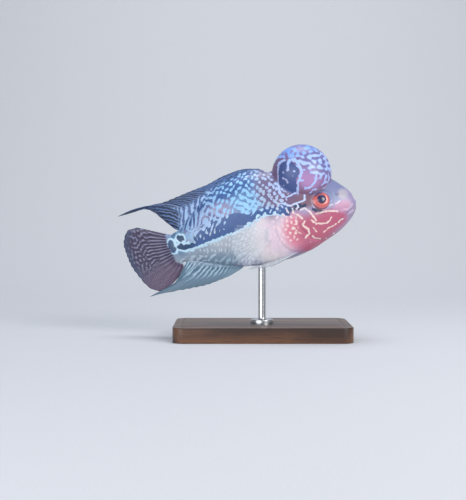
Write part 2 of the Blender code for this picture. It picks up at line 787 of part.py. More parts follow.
def build():
    clear_scene()
    collection = bpy.data.collections.new("flowerhorn")
    bpy.context.scene.collection.children.link(collection)
    fish = bpy.data.objects.new("fish_pose", None)
    collection.objects.link(fish)
    fish.location = LIPS_AT
    fish.rotation_euler = (0, -PITCH, 0)
    bpy.context.view_layer.update()

    red = material("red_face", SKIN_RED, 0.35)
    maroon = material("hump_skin", SKIN_MAROON, 0.3)
    pale = material("pearl_flank", SKIN_PALE, 0.3)
    web = material("fin_web", FIN_GREY, 0.35)
    clear_web = material("clear_fin", FIN_CLEAR, 0.3)
    iris = material("iris", EYE_ORANGE, 0.1)
    finish(make_head(), "head", red, fish, collection)
    finish(make_hump(), "nuchal_hump", maroon, fish, collection)
    finish(make_trunk(), "trunk", pale, fish, collection)
    finish(make_tail_stalk(), "tail_stalk", pale, fish, collection)
    finish(make_dorsal_fin(), "dorsal_fin", web, fish, collection)
    finish(make_anal_fin(), "anal_fin", web, fish, collection)
    finish(make_tail_fin(), "tail_fin", web, fish, collection)
    for left, side in ((1, "left"), (-1, "right")):
        finish(eyeball("eye", left), f"eye_{side}", iris, fish, collection)
        finish(make_pectoral_fin(left), f"pectoral_fin_{side}", clear_web, fish, collection)
        finish(make_pelvic_fin(left), f"pelvic_fin_{side}", clear_web, fish, collection)
    walnut = material("walnut", WALNUT, 0.4)
    steel = material("steel", STEEL, 0.3, 1.0)
    finish(make_base(), "stand_base", walnut, None, collection, posed=False)
    finish(make_rod(fish), "stand_rod", steel, None, collection, posed=False)


build()
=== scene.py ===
"""Flowerhorn cichlid, a life-size still model of a grown male on a walnut and steel stand.

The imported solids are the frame. The fish's skin, scales, eyes and fins are made here, first as a
straight fish and then arched and swung by pose(), as the solids were. Distances behind the lips
are called reach, sideways distances side and heights above the body's axis rise, all in mm.
"""

import math

import bmesh
import bpy
import numpy as np
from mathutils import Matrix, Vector


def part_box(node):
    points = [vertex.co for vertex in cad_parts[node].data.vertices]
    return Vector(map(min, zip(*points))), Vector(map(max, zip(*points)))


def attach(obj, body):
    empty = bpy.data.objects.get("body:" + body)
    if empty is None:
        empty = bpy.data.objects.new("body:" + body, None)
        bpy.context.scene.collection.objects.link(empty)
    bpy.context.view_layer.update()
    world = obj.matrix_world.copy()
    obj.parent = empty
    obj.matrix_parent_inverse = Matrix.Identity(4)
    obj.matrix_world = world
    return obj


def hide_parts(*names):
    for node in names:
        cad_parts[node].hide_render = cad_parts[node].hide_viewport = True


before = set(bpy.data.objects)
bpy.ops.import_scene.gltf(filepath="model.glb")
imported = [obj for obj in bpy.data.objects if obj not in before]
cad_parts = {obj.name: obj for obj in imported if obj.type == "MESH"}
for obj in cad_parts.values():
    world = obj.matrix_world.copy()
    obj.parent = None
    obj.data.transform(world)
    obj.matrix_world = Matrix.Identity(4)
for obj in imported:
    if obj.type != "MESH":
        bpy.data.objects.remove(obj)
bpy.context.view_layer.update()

# Stand base. A slab of oiled walnut, planed, its corners rounded and a bead routed round its top,
# standing flat on the table. It is cut from one board, so the grain runs along it and shows as
# end grain on its short sides.
MM = 0.001
BASE_SIZE = (140, 84, 12)
BASE_CORNER, BASE_EDGE = 9, 1.4
BEAD_IN, BEAD_WIDE, BEAD_DEEP = 6, 0.8, 0.7
WALNUT_DARK, WALNUT_MID, WALNUT_PALE = "2e1b11", "4c2f1e", "6b472e"


def linear(hex_colour):
    """Turns an sRGB hex colour into the linear red, green, blue and alpha that a shader takes."""
    parts = [int(hex_colour[k:k + 2], 16) / 255 for k in (0, 2, 4)]
    curve = [v / 12.92 if v < 0.04045 else ((v + 0.055) / 1.055) ** 2.4 for v in parts]
    return (*curve, 1.0)


def add(tree, kind, inputs=None, out=0, steps=(), **settings):
    """Adds a shader node with its settings, values and links, and gives one of its outputs.

    A colour ramp also takes its steps, as (place, hex colour).
    """
    made = tree.nodes.new("ShaderNode" + kind)
    for name, value in settings.items():
        setattr(made, name, value)
    for key, value in (inputs or {}).items():
        if isinstance(value, bpy.types.NodeSocket):
            tree.links.new(value, made.inputs[key])
        else:
            made.inputs[key].default_value = value
    for k, (at, colour) in enumerate(steps):
        stops = made.color_ramp.elements
        if k == len(stops):
            stops.new(at)
        stops[k].position = at
        stops[k].color = linear(colour)
    return made.outputs[out]


def new_material(name, **values):
    """An empty Principled material: gives it, its tree and its shader, with even values set."""
    made = bpy.data.materials.new(name)
    made.use_nodes = True
    shader = made.node_tree.nodes["Principled BSDF"]
    for key, value in values.items():
        shader.inputs[key.replace("_", " ")].default_value = value
    return made, made.node_tree, shader


def alone(obj):
    """Makes one object the only selected and the active one."""
    if bpy.context.mode != "OBJECT":
        bpy.ops.object.mode_set(mode="OBJECT")
    bpy.ops.object.select_all(action="DESELECT")
    obj.select_set(True)
    bpy.context.view_layer.objects.active = obj
    return obj


def select_parts(obj, kind, wanted):
    """Selects, in edit mode, the vertices, edges or faces for which wanted(part) is true."""
    alone(obj)
    bpy.ops.object.mode_set(mode="EDIT")
    bpy.ops.mesh.select_mode(type={"verts": "VERT", "edges": "EDGE", "faces": "FACE"}[kind])
    bpy.ops.mesh.select_all(action="DESELECT")
    mesh = bmesh.from_edit_mesh(obj.data)
    for part in getattr(mesh, kind):
        if wanted(part):
            part.select_set(True)
    mesh.select_flush_mode()
    bmesh.update_edit_mesh(obj.data)


bpy.ops.object.select_all(action="DESELECT")
bpy.ops.mesh.primitive_cube_add(size=1, location=(0, 0, BASE_SIZE[2] / 2 * MM))
base = bpy.context.object
base.name = "walnut_base"
base.scale = Vector(BASE_SIZE) * MM
bpy.ops.object.transform_apply(location=True, rotation=False, scale=True)
select_parts(base, "edges", lambda e: abs(e.verts[0].co.z - e.verts[1].co.z) > 0.01)
bpy.ops.mesh.bevel(offset=BASE_CORNER * MM, segments=12, affect="EDGES")
select_parts(base, "faces", lambda f: f.normal.z > 0.9)
bpy.ops.mesh.inset(thickness=BEAD_IN * MM)
bpy.ops.mesh.inset(thickness=BEAD_WIDE / 2 * MM, depth=-BEAD_DEEP * MM)
bpy.ops.mesh.inset(thickness=BEAD_WIDE / 2 * MM, depth=BEAD_DEEP * MM)
bpy.ops.object.mode_set(mode="OBJECT")
edge = base.modifiers.new("eased_edge", "BEVEL")
edge.width = BASE_EDGE * MM
edge.segments = 4
edge.limit_method = "ANGLE"
edge.angle_limit = math.radians(60)
bpy.ops.object.modifier_apply(modifier=edge.name)
bpy.ops.object.shade_smooth_by_angle(angle=math.radians(35))

# Walnut, planed and oiled: a low even sheen, with growth rings 4 to 7 mm apart drawn out along
# the board and dark pores 0.2 mm wide, drawn 0.4 mm wide so that they show.
walnut, tree, shader = new_material("oiled_walnut", Roughness=0.42, Coat_Weight=0.15, Coat_Roughness=0.3)
place = add(tree, "TexCoord", out=3)
board = add(tree, "Mapping", {"Vector": place, "Scale": (9, 60, 60), "Rotation": (0, 0, 0.03)})
sway = add(tree, "TexNoise", {"Vector": board, "Scale": 0.5, "Detail": 3.0}, out=1)
bent = add(tree, "VectorMath", {0: sway, 1: (1.6, 1.6, 1.6), 2: board}, operation="MULTIPLY_ADD")
rings = add(tree, "TexWave", {"Vector": bent, "Scale": 0.42, "Distortion": 3.5, "Detail": 3.0}, out=1,
            wave_type="RINGS", rings_direction="X")
fibre = add(tree, "Mapping", {"Vector": place, "Scale": (60, 1500, 1500)})
pores = add(tree, "TexNoise", {"Vector": fibre, "Scale": 1.0, "Detail": 2.0})
wood_steps = (0.0, WALNUT_DARK), (0.45, WALNUT_MID), (1.0, WALNUT_PALE)
ring_colour = add(tree, "ValToRGB", {0: rings}, steps=wood_steps)
pore_dark = add(tree, "MapRange", {0: pores, 1: 0.36, 2: 0.5, 3: 0.55, 4: 1.0})
wood_colour = add(tree, "MixRGB", {0: 1.0, 1: ring_colour, 2: pore_dark}, blend_type="MULTIPLY")
tree.links.new(wood_colour, shader.inputs["Base Color"])
relief = add(tree, "Bump", {"Height": pores, "Strength": 0.25, "Distance": 0.0001})
tree.links.new(relief, shader.inputs["Normal"])
base.data.materials.append(walnut)
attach(base, "root")
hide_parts("stand_base")

# Rod. A turned bar of stainless steel with a flange that is screwed up from below the base, left
# with the fine rings of the lathe tool, its top let into the belly.
ROD_RADIUS, FLANGE_RADIUS, FLANGE_HIGH, FILLET = 3.0, 9.0, 3.0, 1.2
rod_low, rod_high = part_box("stand_rod")
bpy.ops.object.select_all(action="DESELECT")
bpy.ops.mesh.primitive_cylinder_add(
    vertices=64, radius=FLANGE_RADIUS * MM, depth=FLANGE_HIGH * MM,
    location=(0, 0, BASE_SIZE[2] * MM + FLANGE_HIGH / 2 * MM),
)
rod = bpy.context.object
rod.name = "steel_rod"
bpy.ops.object.transform_apply(location=True, rotation=False, scale=False)
select_parts(rod, "edges", lambda e: abs(e.verts[0].co.z - e.verts[1].co.z) < 1e-6 and e.verts[0].co.z > 0.0145)
bpy.ops.mesh.bevel(offset=0.5 * MM, segments=3, affect="EDGES")
select_parts(rod, "faces", lambda f: f.normal.z > 0.99 and len(f.verts) > 8)
bpy.ops.mesh.inset(thickness=(FLANGE_RADIUS - 0.5 - ROD_RADIUS - FILLET) * MM)
for step in range(1, 5):
    turn = step / 4 * math.pi / 2
    rise = FILLET * (1 - math.cos(turn)) - FILLET * (1 - math.cos(turn - math.pi / 8))
    shrink = FILLET * (math.sin(turn) - math.sin(turn - math.pi / 8))
    bpy.ops.mesh.inset(thickness=shrink * MM, depth=rise * MM)
neck = BASE_SIZE[2] + FLANGE_HIGH + FILLET
bpy.ops.mesh.extrude_region_move(TRANSFORM_OT_translate={"value": (0, 0, rod_high.z - neck * MM)})
bpy.ops.object.mode_set(mode="OBJECT")
bpy.ops.object.shade_smooth_by_angle(angle=math.radians(30))

# Stainless steel, turned: a cool grey mirror blurred round the bar, with tool rings 0.15 mm apart,
# drawn 0.5 mm apart so that they show.
steel, tree, shader = new_material("turned_steel", Metallic=1.0, Roughness=0.24, Anisotropic=0.5)
place = add(tree, "TexCoord", out=3)
tool = add(tree, "Mapping", {"Vector": place, "Scale": (120, 120, 2000)})
rings = add(tree, "TexNoise", {"Vector": tool, "Scale": 1.0, "Detail": 3.0})
steel_colour = add(tree, "ValToRGB", {0: rings}, steps=((0.3, "b4b7ba"), (0.7, "d2d4d6")))
tree.links.new(steel_colour, shader.inputs["Base Color"])
relief = add(tree, "Bump", {"Height": rings, "Strength": 0.12, "Distance": 0.0001})
tree.links.new(relief, shader.inputs["Normal"])
rod.data.materials.append(steel)
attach(rod, "root")
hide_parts("stand_rod")

# Skin. One seamless skin over head, hump, trunk and tail stalk, as a taxidermist casts it from the
# fresh fish: resin with the lips, eyelids, nostrils and free gill covers in it, airbrushed.
# It is drawn as closed shells of the straight fish, fused and smoothed, and then posed.
STATIONS = np.array((
    # reach, rise of the back, depth of the belly, half width
    (0.6, 2.6, 3.4, 3.4), (2.5, 8.8, 7.8, 6.6), (9, 16.2, 14.4, 9.8), (17, 23, 20, 12.4),
    (28, 28, 25.2, 14.6), (42, 33, 31.2, 16.4), (60, 36.4, 35.2, 17), (78, 37.6, 36.6, 16.2),
    (94, 35.4, 35.4, 14.2), (107, 31, 32.6, 11.8), (118, 25.6, 28.4, 9.4), (130, 18.6, 21.6, 7),
    (141, 13.2, 15.2, 5.2), (150, 12, 12.6, 4.2),
))
BACK_TAPER, BELLY_TAPER = 1.12, 0.86
BODY_LENGTH = 150
GILL_UP, GILL_AT = (-1, -0.8, -0.45, -0.2, 0.1, 0.45, 1), (41, 56.5, 64, 65, 61.5, 58.5, 63)
GILL_FLARE, GILL_CAP = 0.22, 57
SCALE_BED = 0.5
HUMP_AT, HUMP_HALF = (38.4, 0, 30), (23.7, 19.6, 23.7)
PITCH, ARCH = math.radians(10), math.radians(14)
ARCH_START, ARCH_END, SWING_END, ROD_REACH = 78, 128, 190, 75
SWING_AT_LIPS, SWING_AT_TAIL = math.radians(2), math.radians(12)
LIPS_AT = np.array((74.4, 0, 108))
SKIN_VOXEL = 0.58


def ease(value, low, high):
    t = np.clip((value - low) / (high - low), 0, 1)
    return t * t * (3 - 2 * t)


def smooth_curve(at, places, values):
    """A curve through the points that never overshoots them."""
    places, values = np.asarray(places, float), np.asarray(values, float)
    step = np.diff(places)
    slope = np.diff(values) / step
    before, after = np.append(slope[0], slope), np.append(slope, slope[-1])
    same_way = before * after > 0
    tangent = np.where(same_way, 2 * before * after / np.where(same_way, before + after, 1), 0)
    at = np.clip(at, places[0], places[-1])
    k = np.clip(np.searchsorted(places, at, side="right") - 1, 0, len(step) - 1)
    t = (at - places[k]) / step[k]
    start = (1 + 2 * t) * (1 - t) ** 2 * values[k] + t * (1 - t) ** 2 * step[k] * tangent[k]
    return start + t * t * (3 - 2 * t) * values[k + 1] + t * t * (t - 1) * step[k] * tangent[k + 1]


def section(reach):
    """Rise of the back, depth of the belly and half width behind the lips."""
    return [smooth_curve(reach, STATIONS[:, 0], STATIONS[:, k]) for k in (1, 2, 3)]


def body_point(reach, angle, swell=0.0):
    """Points of the body, as reach, side and rise. Angle 0 is the left flank, 90 degrees the back."""
    reach, angle = np.broadcast_arrays(np.asarray(reach, float), np.asarray(angle, float))
    back, belly, half = section(reach)
    across, up = np.cos(angle), np.sin(angle)
    taper = np.where(up > 0, BACK_TAPER, BELLY_TAPER)
    side = np.sign(across) * np.abs(across) ** taper * (half + swell)
    rise = up * (np.where(up > 0, back, belly) + swell)
    return np.stack([reach, side, rise], -1)


def flank_side(reach, rise):
    """Half width of the body at a height above or below its axis."""
    back, belly, half = section(reach)
    up = np.minimum(1, np.abs(rise) / np.where(rise > 0, back, belly))
    return half * np.sqrt(1 - up * up) ** np.where(rise > 0, BACK_TAPER, BELLY_TAPER)


def gill_reach(angle):
    return smooth_curve(np.sin(angle), GILL_UP, GILL_AT)


def pose(points):
    """Carries points of the straight fish to their place above the stand, in metres."""
    step = 0.5
    reach = np.arange(-10, 240, step)
    drop = ARCH * ease(reach, ARCH_START, ARCH_END)
    swing = SWING_AT_LIPS + (SWING_AT_TAIL - SWING_AT_LIPS) * ease(reach, 0, SWING_END)
    course = np.stack([-np.cos(drop) * np.cos(swing), np.sin(swing), -np.sin(drop) * np.cos(swing)], 1)
    line = np.cumsum(course * step, 0)
    line -= [np.interp(0, reach, line[:, k]) for k in range(3)]
    line[:, 1] -= np.interp(ROD_REACH, reach, line[:, 1])
    at = points[:, 0]
    centre = np.stack([np.interp(at, reach, line[:, k]) for k in range(3)], 1)
    down, turn = np.interp(at, reach, drop), np.interp(at, reach, swing)
    left = np.stack([np.sin(turn), np.cos(turn), 0 * turn], 1)
    up = np.stack([-np.sin(down) * np.cos(turn), np.sin(down) * np.sin(turn), np.cos(down)], 1)
    bent = centre + left * points[:, 1:2] + up * points[:, 2:3]
    x, y, z = bent.T
    level = [x * math.cos(PITCH) - z * math.sin(PITCH), y, x * math.sin(PITCH) + z * math.cos(PITCH)]
    return (np.stack(level, 1) + LIPS_AT) * MM


def from_arrays(name, points, faces):
    """A mesh object from points in metres and lists of their numbers."""
    data = bpy.data.meshes.new(name)
    data.from_pydata(points.tolist(), [], faces)
    data.validate()
    made = bpy.data.objects.new(name, data)
    bpy.context.scene.collection.objects.link(made)
    return made


def straight_to_metres(points):
    return points * (-MM, MM, MM)


def closed_loft(name, rings, front, rear):
    """A closed shell of the straight fish through rings of points, each end a fan."""
    count, sides = rings.shape[:2]
    points = np.concatenate([rings.reshape(-1, 3), [front, rear]])
    faces = []
    for k in range(sides):
        m = (k + 1) % sides
        faces += [(r * sides + k, r * sides + m, (r + 1) * sides + m, (r + 1) * sides + k) for r in range(count - 1)]
        faces.append((m, k, count * sides))
        faces.append(((count - 1) * sides + k, (count - 1) * sides + m, count * sides + 1))
    made = from_arrays(name, straight_to_metres(points), faces)
    outward(made)
    return made


def outward(obj):
    mesh = bmesh.new()
    mesh.from_mesh(obj.data)
    bmesh.ops.recalc_face_normals(mesh, faces=mesh.faces[:])
    mesh.to_mesh(obj.data)
    mesh.free()


around = np.linspace(0, 2 * np.pi, 96, endpoint=False)
shares = np.concatenate([np.linspace(0, 0.12, 16), np.linspace(0.14, 1, 60)])[:, None]
gill_edge = gill_reach(around)[None]
up = np.sin(around)[None]
flare = GILL_FLARE * ease(up, -0.98, -0.7) * (1 - ease(up, 0.2, 0.5)) * ease(shares, 0.86, 1)
head_rings = body_point(0.6 + shares * (gill_edge - 0.6), around[None], flare)
shells = [closed_loft("head_shell", head_rings, (-0.1, 0, 0), (GILL_CAP, 0, 0))]
sunk = -SCALE_BED * ease(np.linspace(40, 151, 90), 62, 68)[:, None]
trunk_rings = body_point(np.linspace(40, 151, 90)[:, None], around[None], np.minimum(sunk, -0.25))
shells.append(closed_loft("trunk_shell", trunk_rings, (40, 0, 0), (152, 0, 0)))

# The hump of a grown male is a ball of fat and water under tight skin, so it starts as a ball.
bpy.ops.object.select_all(action="DESELECT")
bpy.ops.mesh.primitive_uv_sphere_add(segments=96, ring_count=64, radius=1)
hump = bpy.context.object
hump.scale = Vector(HUMP_HALF) * MM
hump.location = straight_to_metres(np.array(HUMP_AT))
bpy.ops.object.transform_apply(location=True, rotation=False, scale=True)
shells.append(hump)

# Eyelids and nostril rims are rings of skin laid on the head.
EYE_AT, EYE_RADIUS, EYE_DEPTH, EYE_OPENING = (27.5, 6.7), 8.4, 4.4, 7.2
EYE_FORWARD, EYE_UP = math.radians(9.5), math.radians(8.5)
LID_WIDE, LID_HIGH, LID_SINK, LID_FOLLOWS = 3.2, 0.65, 0.2, 0.6
HOOD_OVER, HOOD_LIFT = 1.2, 0.7
NOSTRIL_AT, NOSTRIL_RADIUS = (13.5, 9.5), 0.8


def eye_frame(left):
    """The eye's sunk centre, its rim's centre and its three directions, the last one outward."""
    out = np.array((-math.sin(EYE_FORWARD), left * math.cos(EYE_FORWARD), math.sin(EYE_UP)))
    out /= np.linalg.norm(out)
    side = float(flank_side(EYE_AT[0], EYE_AT[1])) - 0.2
    rim = np.array((EYE_AT[0], left * side, EYE_AT[1]))
    rear = np.cross((0, 0, 1), out)
    rear /= np.linalg.norm(rear)
    sunk = EYE_DEPTH * math.sqrt(1 - (EYE_OPENING / EYE_RADIUS) ** 2)
    return rim - out * sunk, rim, np.stack([rear, np.cross(out, rear), out])


for left in (1, -1):
    centre, rim, (rear, high, out) = eye_frame(left)
    turn = np.linspace(0, 2 * np.pi, 72, endpoint=False)[:, None]
    spoke = np.cos(turn) * rear + np.sin(turn) * high
    hood = ease(np.sin(turn), 0.3, 0.95)
    middle = rim + spoke * (EYE_OPENING + 0.35 * LID_WIDE - HOOD_OVER * hood)
    middle += out * (HOOD_LIFT * hood - LID_SINK)
    cheek = left * flank_side(middle[:, 0], middle[:, 2])
    middle[:, 1] += LID_FOLLOWS * (cheek - middle[:, 1])
    slant = np.linspace(0, 2 * np.pi, 16, endpoint=False)[None, :, None]
    ring = middle[:, None] + spoke[:, None] * np.cos(slant) * LID_WIDE / 2 + out * np.sin(slant) * LID_HIGH
    count = len(turn) * 16
    k = np.arange(count)
    near, far = k, (k + 16) % count
    step = np.where(k % 16 == 15, -15, 1)
    faces = np.stack([near, far, far + step, near + step], 1).tolist()
    shells.append(from_arrays("lid_shell", straight_to_metres(ring.reshape(-1, 3)), faces))
    outward(shells[-1])

# Lips: two fleshy bars round the snout that meet along the line of the mouth.
MOUTH_FRONT, MOUTH_HALF, MOUTH_CORNER_RISE = (1.2, -0.6), 8.5, -6.6
UPPER_LIP, LOWER_LIP = (1.9, 2.1, 0.4), (2.3, 2.2, 1.1)


def mouth_line(turn):
    """The closed mouth's line, from the left corner at -90 degrees round to the right."""
    side = MOUTH_HALF * np.abs(np.sin(turn))
    rise = MOUTH_FRONT[1] + (MOUTH_CORNER_RISE - MOUTH_FRONT[1]) * np.abs(np.sin(turn)) ** 2.2
    reaches = np.linspace(0, 14, 60)
    reach = [
        MOUTH_FRONT[0] + np.interp(s, flank_side(reaches, r) * np.minimum(1, reaches / 0.6), reaches)
        for s, r in zip(side, rise)
    ]
    return np.stack([reach, -np.copysign(side, np.sin(turn)), rise], 1)


for high, deep, sink, way in ((*UPPER_LIP, 1), (*LOWER_LIP, -1)):
    turn = np.radians(88) * np.linspace(-1, 1, 61)
    middle = mouth_line(turn)
    along = mouth_line(turn + 0.02) - mouth_line(turn - 0.02)
    along /= np.linalg.norm(along, axis=1, keepdims=True)
    out = np.cross(along, (0, 0, 1))
    out *= np.sign(-out[:, :1] + 1e-9) / np.linalg.norm(out, axis=1, keepdims=True)
    over = np.cross(out, along)
    over *= np.sign(over[:, 2:])
    size = (0.45 + 0.55 * np.cos(turn) ** 0.6)[:, None]
    middle = middle - out * sink + over * high * way * size
    slant = np.linspace(0, 2 * np.pi, 20, endpoint=False)[None, :, None]
    rings = middle[:, None] + (out * deep * size)[:, None] * np.cos(slant) + (over * high * size)[:, None] * np.sin(slant)
    shells.append(closed_loft("lip_shell", rings, middle[0], middle[-1]))

alone(shells[0])
for shell in shells:
    shell.select_set(True)
bpy.ops.object.join()
skin = bpy.context.object
skin.name = "skin"
fuse = skin.modifiers.new("fuse", "REMESH")
fuse.mode = "VOXEL"
fuse.voxel_size = SKIN_VOXEL * MM
bpy.ops.object.modifier_apply(modifier=fuse.name)
soften = skin.modifiers.new("soften", "SMOOTH")
soften.factor = 0.5
soften.iterations = 4
bpy.ops.object.modifier_apply(modifier=soften.name)


def read(data, field, wide):
    """A mesh's coordinates or normals as rows of an array."""
    values = np.empty(len(data) * wide, np.float32)
    data.foreach_get(field, values)
    return values.reshape(-1, wide).astype(float)


def near_line(points, line):
    """The distance from each point to a line through the given places, in as many dimensions."""
    line = np.asarray(line, float)
    if len(line) == 1:
        return np.linalg.norm(points - line[0], axis=1)
    best = np.full(len(points), 1e9)
    for start, stop in zip(line, line[1:]):
        course = stop - start
        share = np.clip((points - start) @ course / (course @ course), 0, 1)
        best = np.minimum(best, np.linalg.norm(points - start - share[:, None] * course, axis=1))
    return best


# Folds pressed into the fused skin: (line as reach and rise, depth, half width), seen from the side.
CHEEK_FOLDS = (
    (((50, 6), (49, -4), (46, -13), (40, -21), (32, -25)), 0.45, 1.1),
    (((10.5, -8.5), (13, -10.5), (15.5, -13.5)), 0.5, 0.8),
    (((8, -4.5), (10.6, -4.0), (13.2, -5.6), (13.9, -8.3), (12.5, -10.2)), -0.45, 0.9),
    (((39, -29), (30, -24.5), (20, -18.5), (12, -13.5)), 0.4, 1.0),
    (((37.5, 1.0), (33, -3.2), (27, -4.6), (21, -3.4)), 0.3, 0.9),
)
places = read(skin.data.vertices, "co", 3) / (-MM, MM, MM)
normals = read(skin.data.vertices, "normal", 3) * (-1, 1, 1)
seam = mouth_line(np.radians(86) * np.linspace(-1, 1, 41))
mouth_depth = near_line(places, seam)
push = -1.3 * np.exp(-((mouth_depth / 0.5) ** 2))
for line, deep, wide in CHEEK_FOLDS:
    push -= deep * np.exp(-((near_line(places[:, [0, 2]], line) / wide) ** 2))
for left in (1, -1):
    nostril = np.array((NOSTRIL_AT[0], left * float(flank_side(*NOSTRIL_AT)), NOSTRIL_AT[1]))
    apart = np.linalg.norm(places - nostril, axis=1)
    push += 0.45 * np.exp(-(((apart - 1.35) / 0.5) ** 2)) - 1.3 * np.exp(-((apart / NOSTRIL_RADIUS) ** 2))
places += normals * push[:, None]


# How far round the body a point lies from the flank's axis, read from one table of the sections.
GIRTH_REACHES, GIRTH_ANGLES = np.arange(0, 157.0), np.radians(np.linspace(-90, 90, 121))
rounds = body_point(GIRTH_REACHES[:, None], GIRTH_ANGLES[None])
steps = np.linalg.norm(np.diff(rounds, axis=1), axis=2)
GIRTHS = np.concatenate([np.zeros((len(steps), 1)), np.cumsum(steps, 1)], 1)
GIRTHS -= GIRTHS[:, 60:61]


def girth(reach, angle):
    """Arc length from the flank's axis to an angle, upward positive."""
    row = np.clip(reach, 0, 155.99)
    col = np.clip((angle + np.pi / 2) / np.pi * 120, 0, 119.99)
    r, c = row.astype(int), col.astype(int)
    fr, fc = row - r, col - c
    near = GIRTHS[r, c] * (1 - fc) + GIRTHS[r, c + 1] * fc
    far = GIRTHS[r + 1, c] * (1 - fc) + GIRTHS[r + 1, c + 1] * fc
    return near * (1 - fr) + far * fr


# Markings. One airbrush plan colours the skin, the scales and the roots of the fins. A spray is a
# soft oval, (hex, reach, rise, half length, half height), laid over the ones before it.
GROUND_SPRAYS = (
    ("8b9aaa", 125, -10, 40, 16), ("acb5bf", 100, -12, 22, 16), ("c2c4ca", 78, -16, 16, 18),
    ("dad8da", 70, -20, 12, 20), ("768ea2", 132, -26, 30, 11), ("daced4", 72, -14, 10, 16), ("d6c2d0", 62, -14, 11, 18),
    ("3c568a", 126, 22, 22, 15), ("42629a", 96, 32, 24, 13),
    ("948fb2", 107, 11, 15, 9),
    ("6488b4", 84, 15, 12, 10), ("6e6486", 65, 20, 11, 20), ("705a78", 52, 10, 12, 9),
    ("56789a", 146, 4, 8, 11), ("d27f94", 50, -14, 10, 14), ("ae5a72", 34, -14, 17, 13),
    ("ac5672", 20, -9, 12, 8), ("b0607a", 36, -28, 14, 6), ("785a6c", 38, 9, 8, 6),
    ("747ca2", 15, 15, 12, 12), ("958cae", 4, 4, 6, 8), ("b486a4", 11, -0.5, 7, 4.5),
    # The dark mauve spray 54466a at reach 31, rise 14.3, just above the eye, is a painted shadow of the upper eyelid.
    ("9a8aa8", 3, -8, 4, 7), ("54466a", 31, 14.3, 7, 2.2), ("a4a0ae", 9.5, 9, 4, 4),
)
PEARL_SPRAYS = (
    ("b2c2d0", 125, -14, 40, 20), ("c6ced8", 98, -16, 22, 20), ("d2d4dc", 78, -18, 18, 18),
    ("a0bacc", 128, -28, 30, 10), ("e8c8d4", 58, -12, 12, 16), ("96b6dc", 122, 20, 32, 17), ("92c4ea", 88, 20, 22, 20),
    ("a4b2cc", 62, 24, 13, 20), ("80a8cc", 143, 4, 12, 11), ("e0c8c2", 34, -10, 26, 18),
    ("b0c8f6", 38, 34, 26, 26),
)
HUMP_GROUNDS = (("744e68", 38, 14, 24, 9), ("6f5678", 54, 34, 12, 24), ("8c6896", 30, 28, 13, 12), ("a87cae", 33.5, 25.5, 8, 8), ("7468a2", 38, 51, 18, 7),
                ("66649a", 20, 42, 18, 15))
HUMP_PEARLS = (("a6a8cc", 54, 22, 10, 16), ("a2bcf8", 21, 36, 14, 18), ("6c9aea", 38, 52, 22, 8))
DARK_SPRAYS = (("3a5a90", 90, 2, 60, 20), ("36384c", 31, 0, 5, 4), ("123b62", 142, 2.5, 11, 9), ("4a5e7a", 151.6, 2.4, 2.6, 4), ("465a8e", 50, 30, 10, 22), ("2e3a5a", 42, 3, 11, 8))

# The black band's lower and upper edges by reach, and the dark spots: (half width, its places).
BAND_REACH = (38, 41, 44, 47, 49.5, 52, 55, 58.5, 61.5, 66, 72, 76, 80, 84, 88, 92, 95, 98, 101,
              103.5, 109, 118, 125, 132, 137, 140)
BAND_LOW = (5, 3.6, 3, 3, 4.6, 0.8, 0.8, 1.8, 3.6, 3.8, 4.4, 3.6, 2, 0, -2, -3.6, -4.2, -4.8, -5.2,
            -5.2, -5.6, -5.8, -5.4, -5.2, -5, -4.6)
BAND_HIGH = (5, 7, 7.6, 7.2, 4.8, 6, 8, 7.8, 5.6, 7.0, 7.4, 7.0, 5.8, 5.6, 6.8, 8.4, 9.2, 8.6, 6.4,
             6.0, 6.4, 5.6, 3.4, 0.4, -2.0, -4.4)
BAND_RAGGED = (8, 8, 8, 8, 8, 8, 9, 9, 9, 9, 9, 8, 6, 4, 3, 3, 3, 3, 5, 12, 17, 18, 17, 12, 7, 4)
DARK_SPOTS = (
    (2.3, ((143.2, 6.7), (141.6, 5.4))), (2.2, ((139, -2.6), (142, -2), (145.4, 0.2))),
    (2.7, ((151.5, 5.4), (152.2, 2.4), (151.6, 0))), (1.2, ((34.8, 1.6), (32.2, -0.2), (28.6, -1.2))),
)
PATCH_HALF, PATCH = 6.8, ((50.6, 19.3), (50.4, 30), (48.8, 35), (46.9, 32.6))

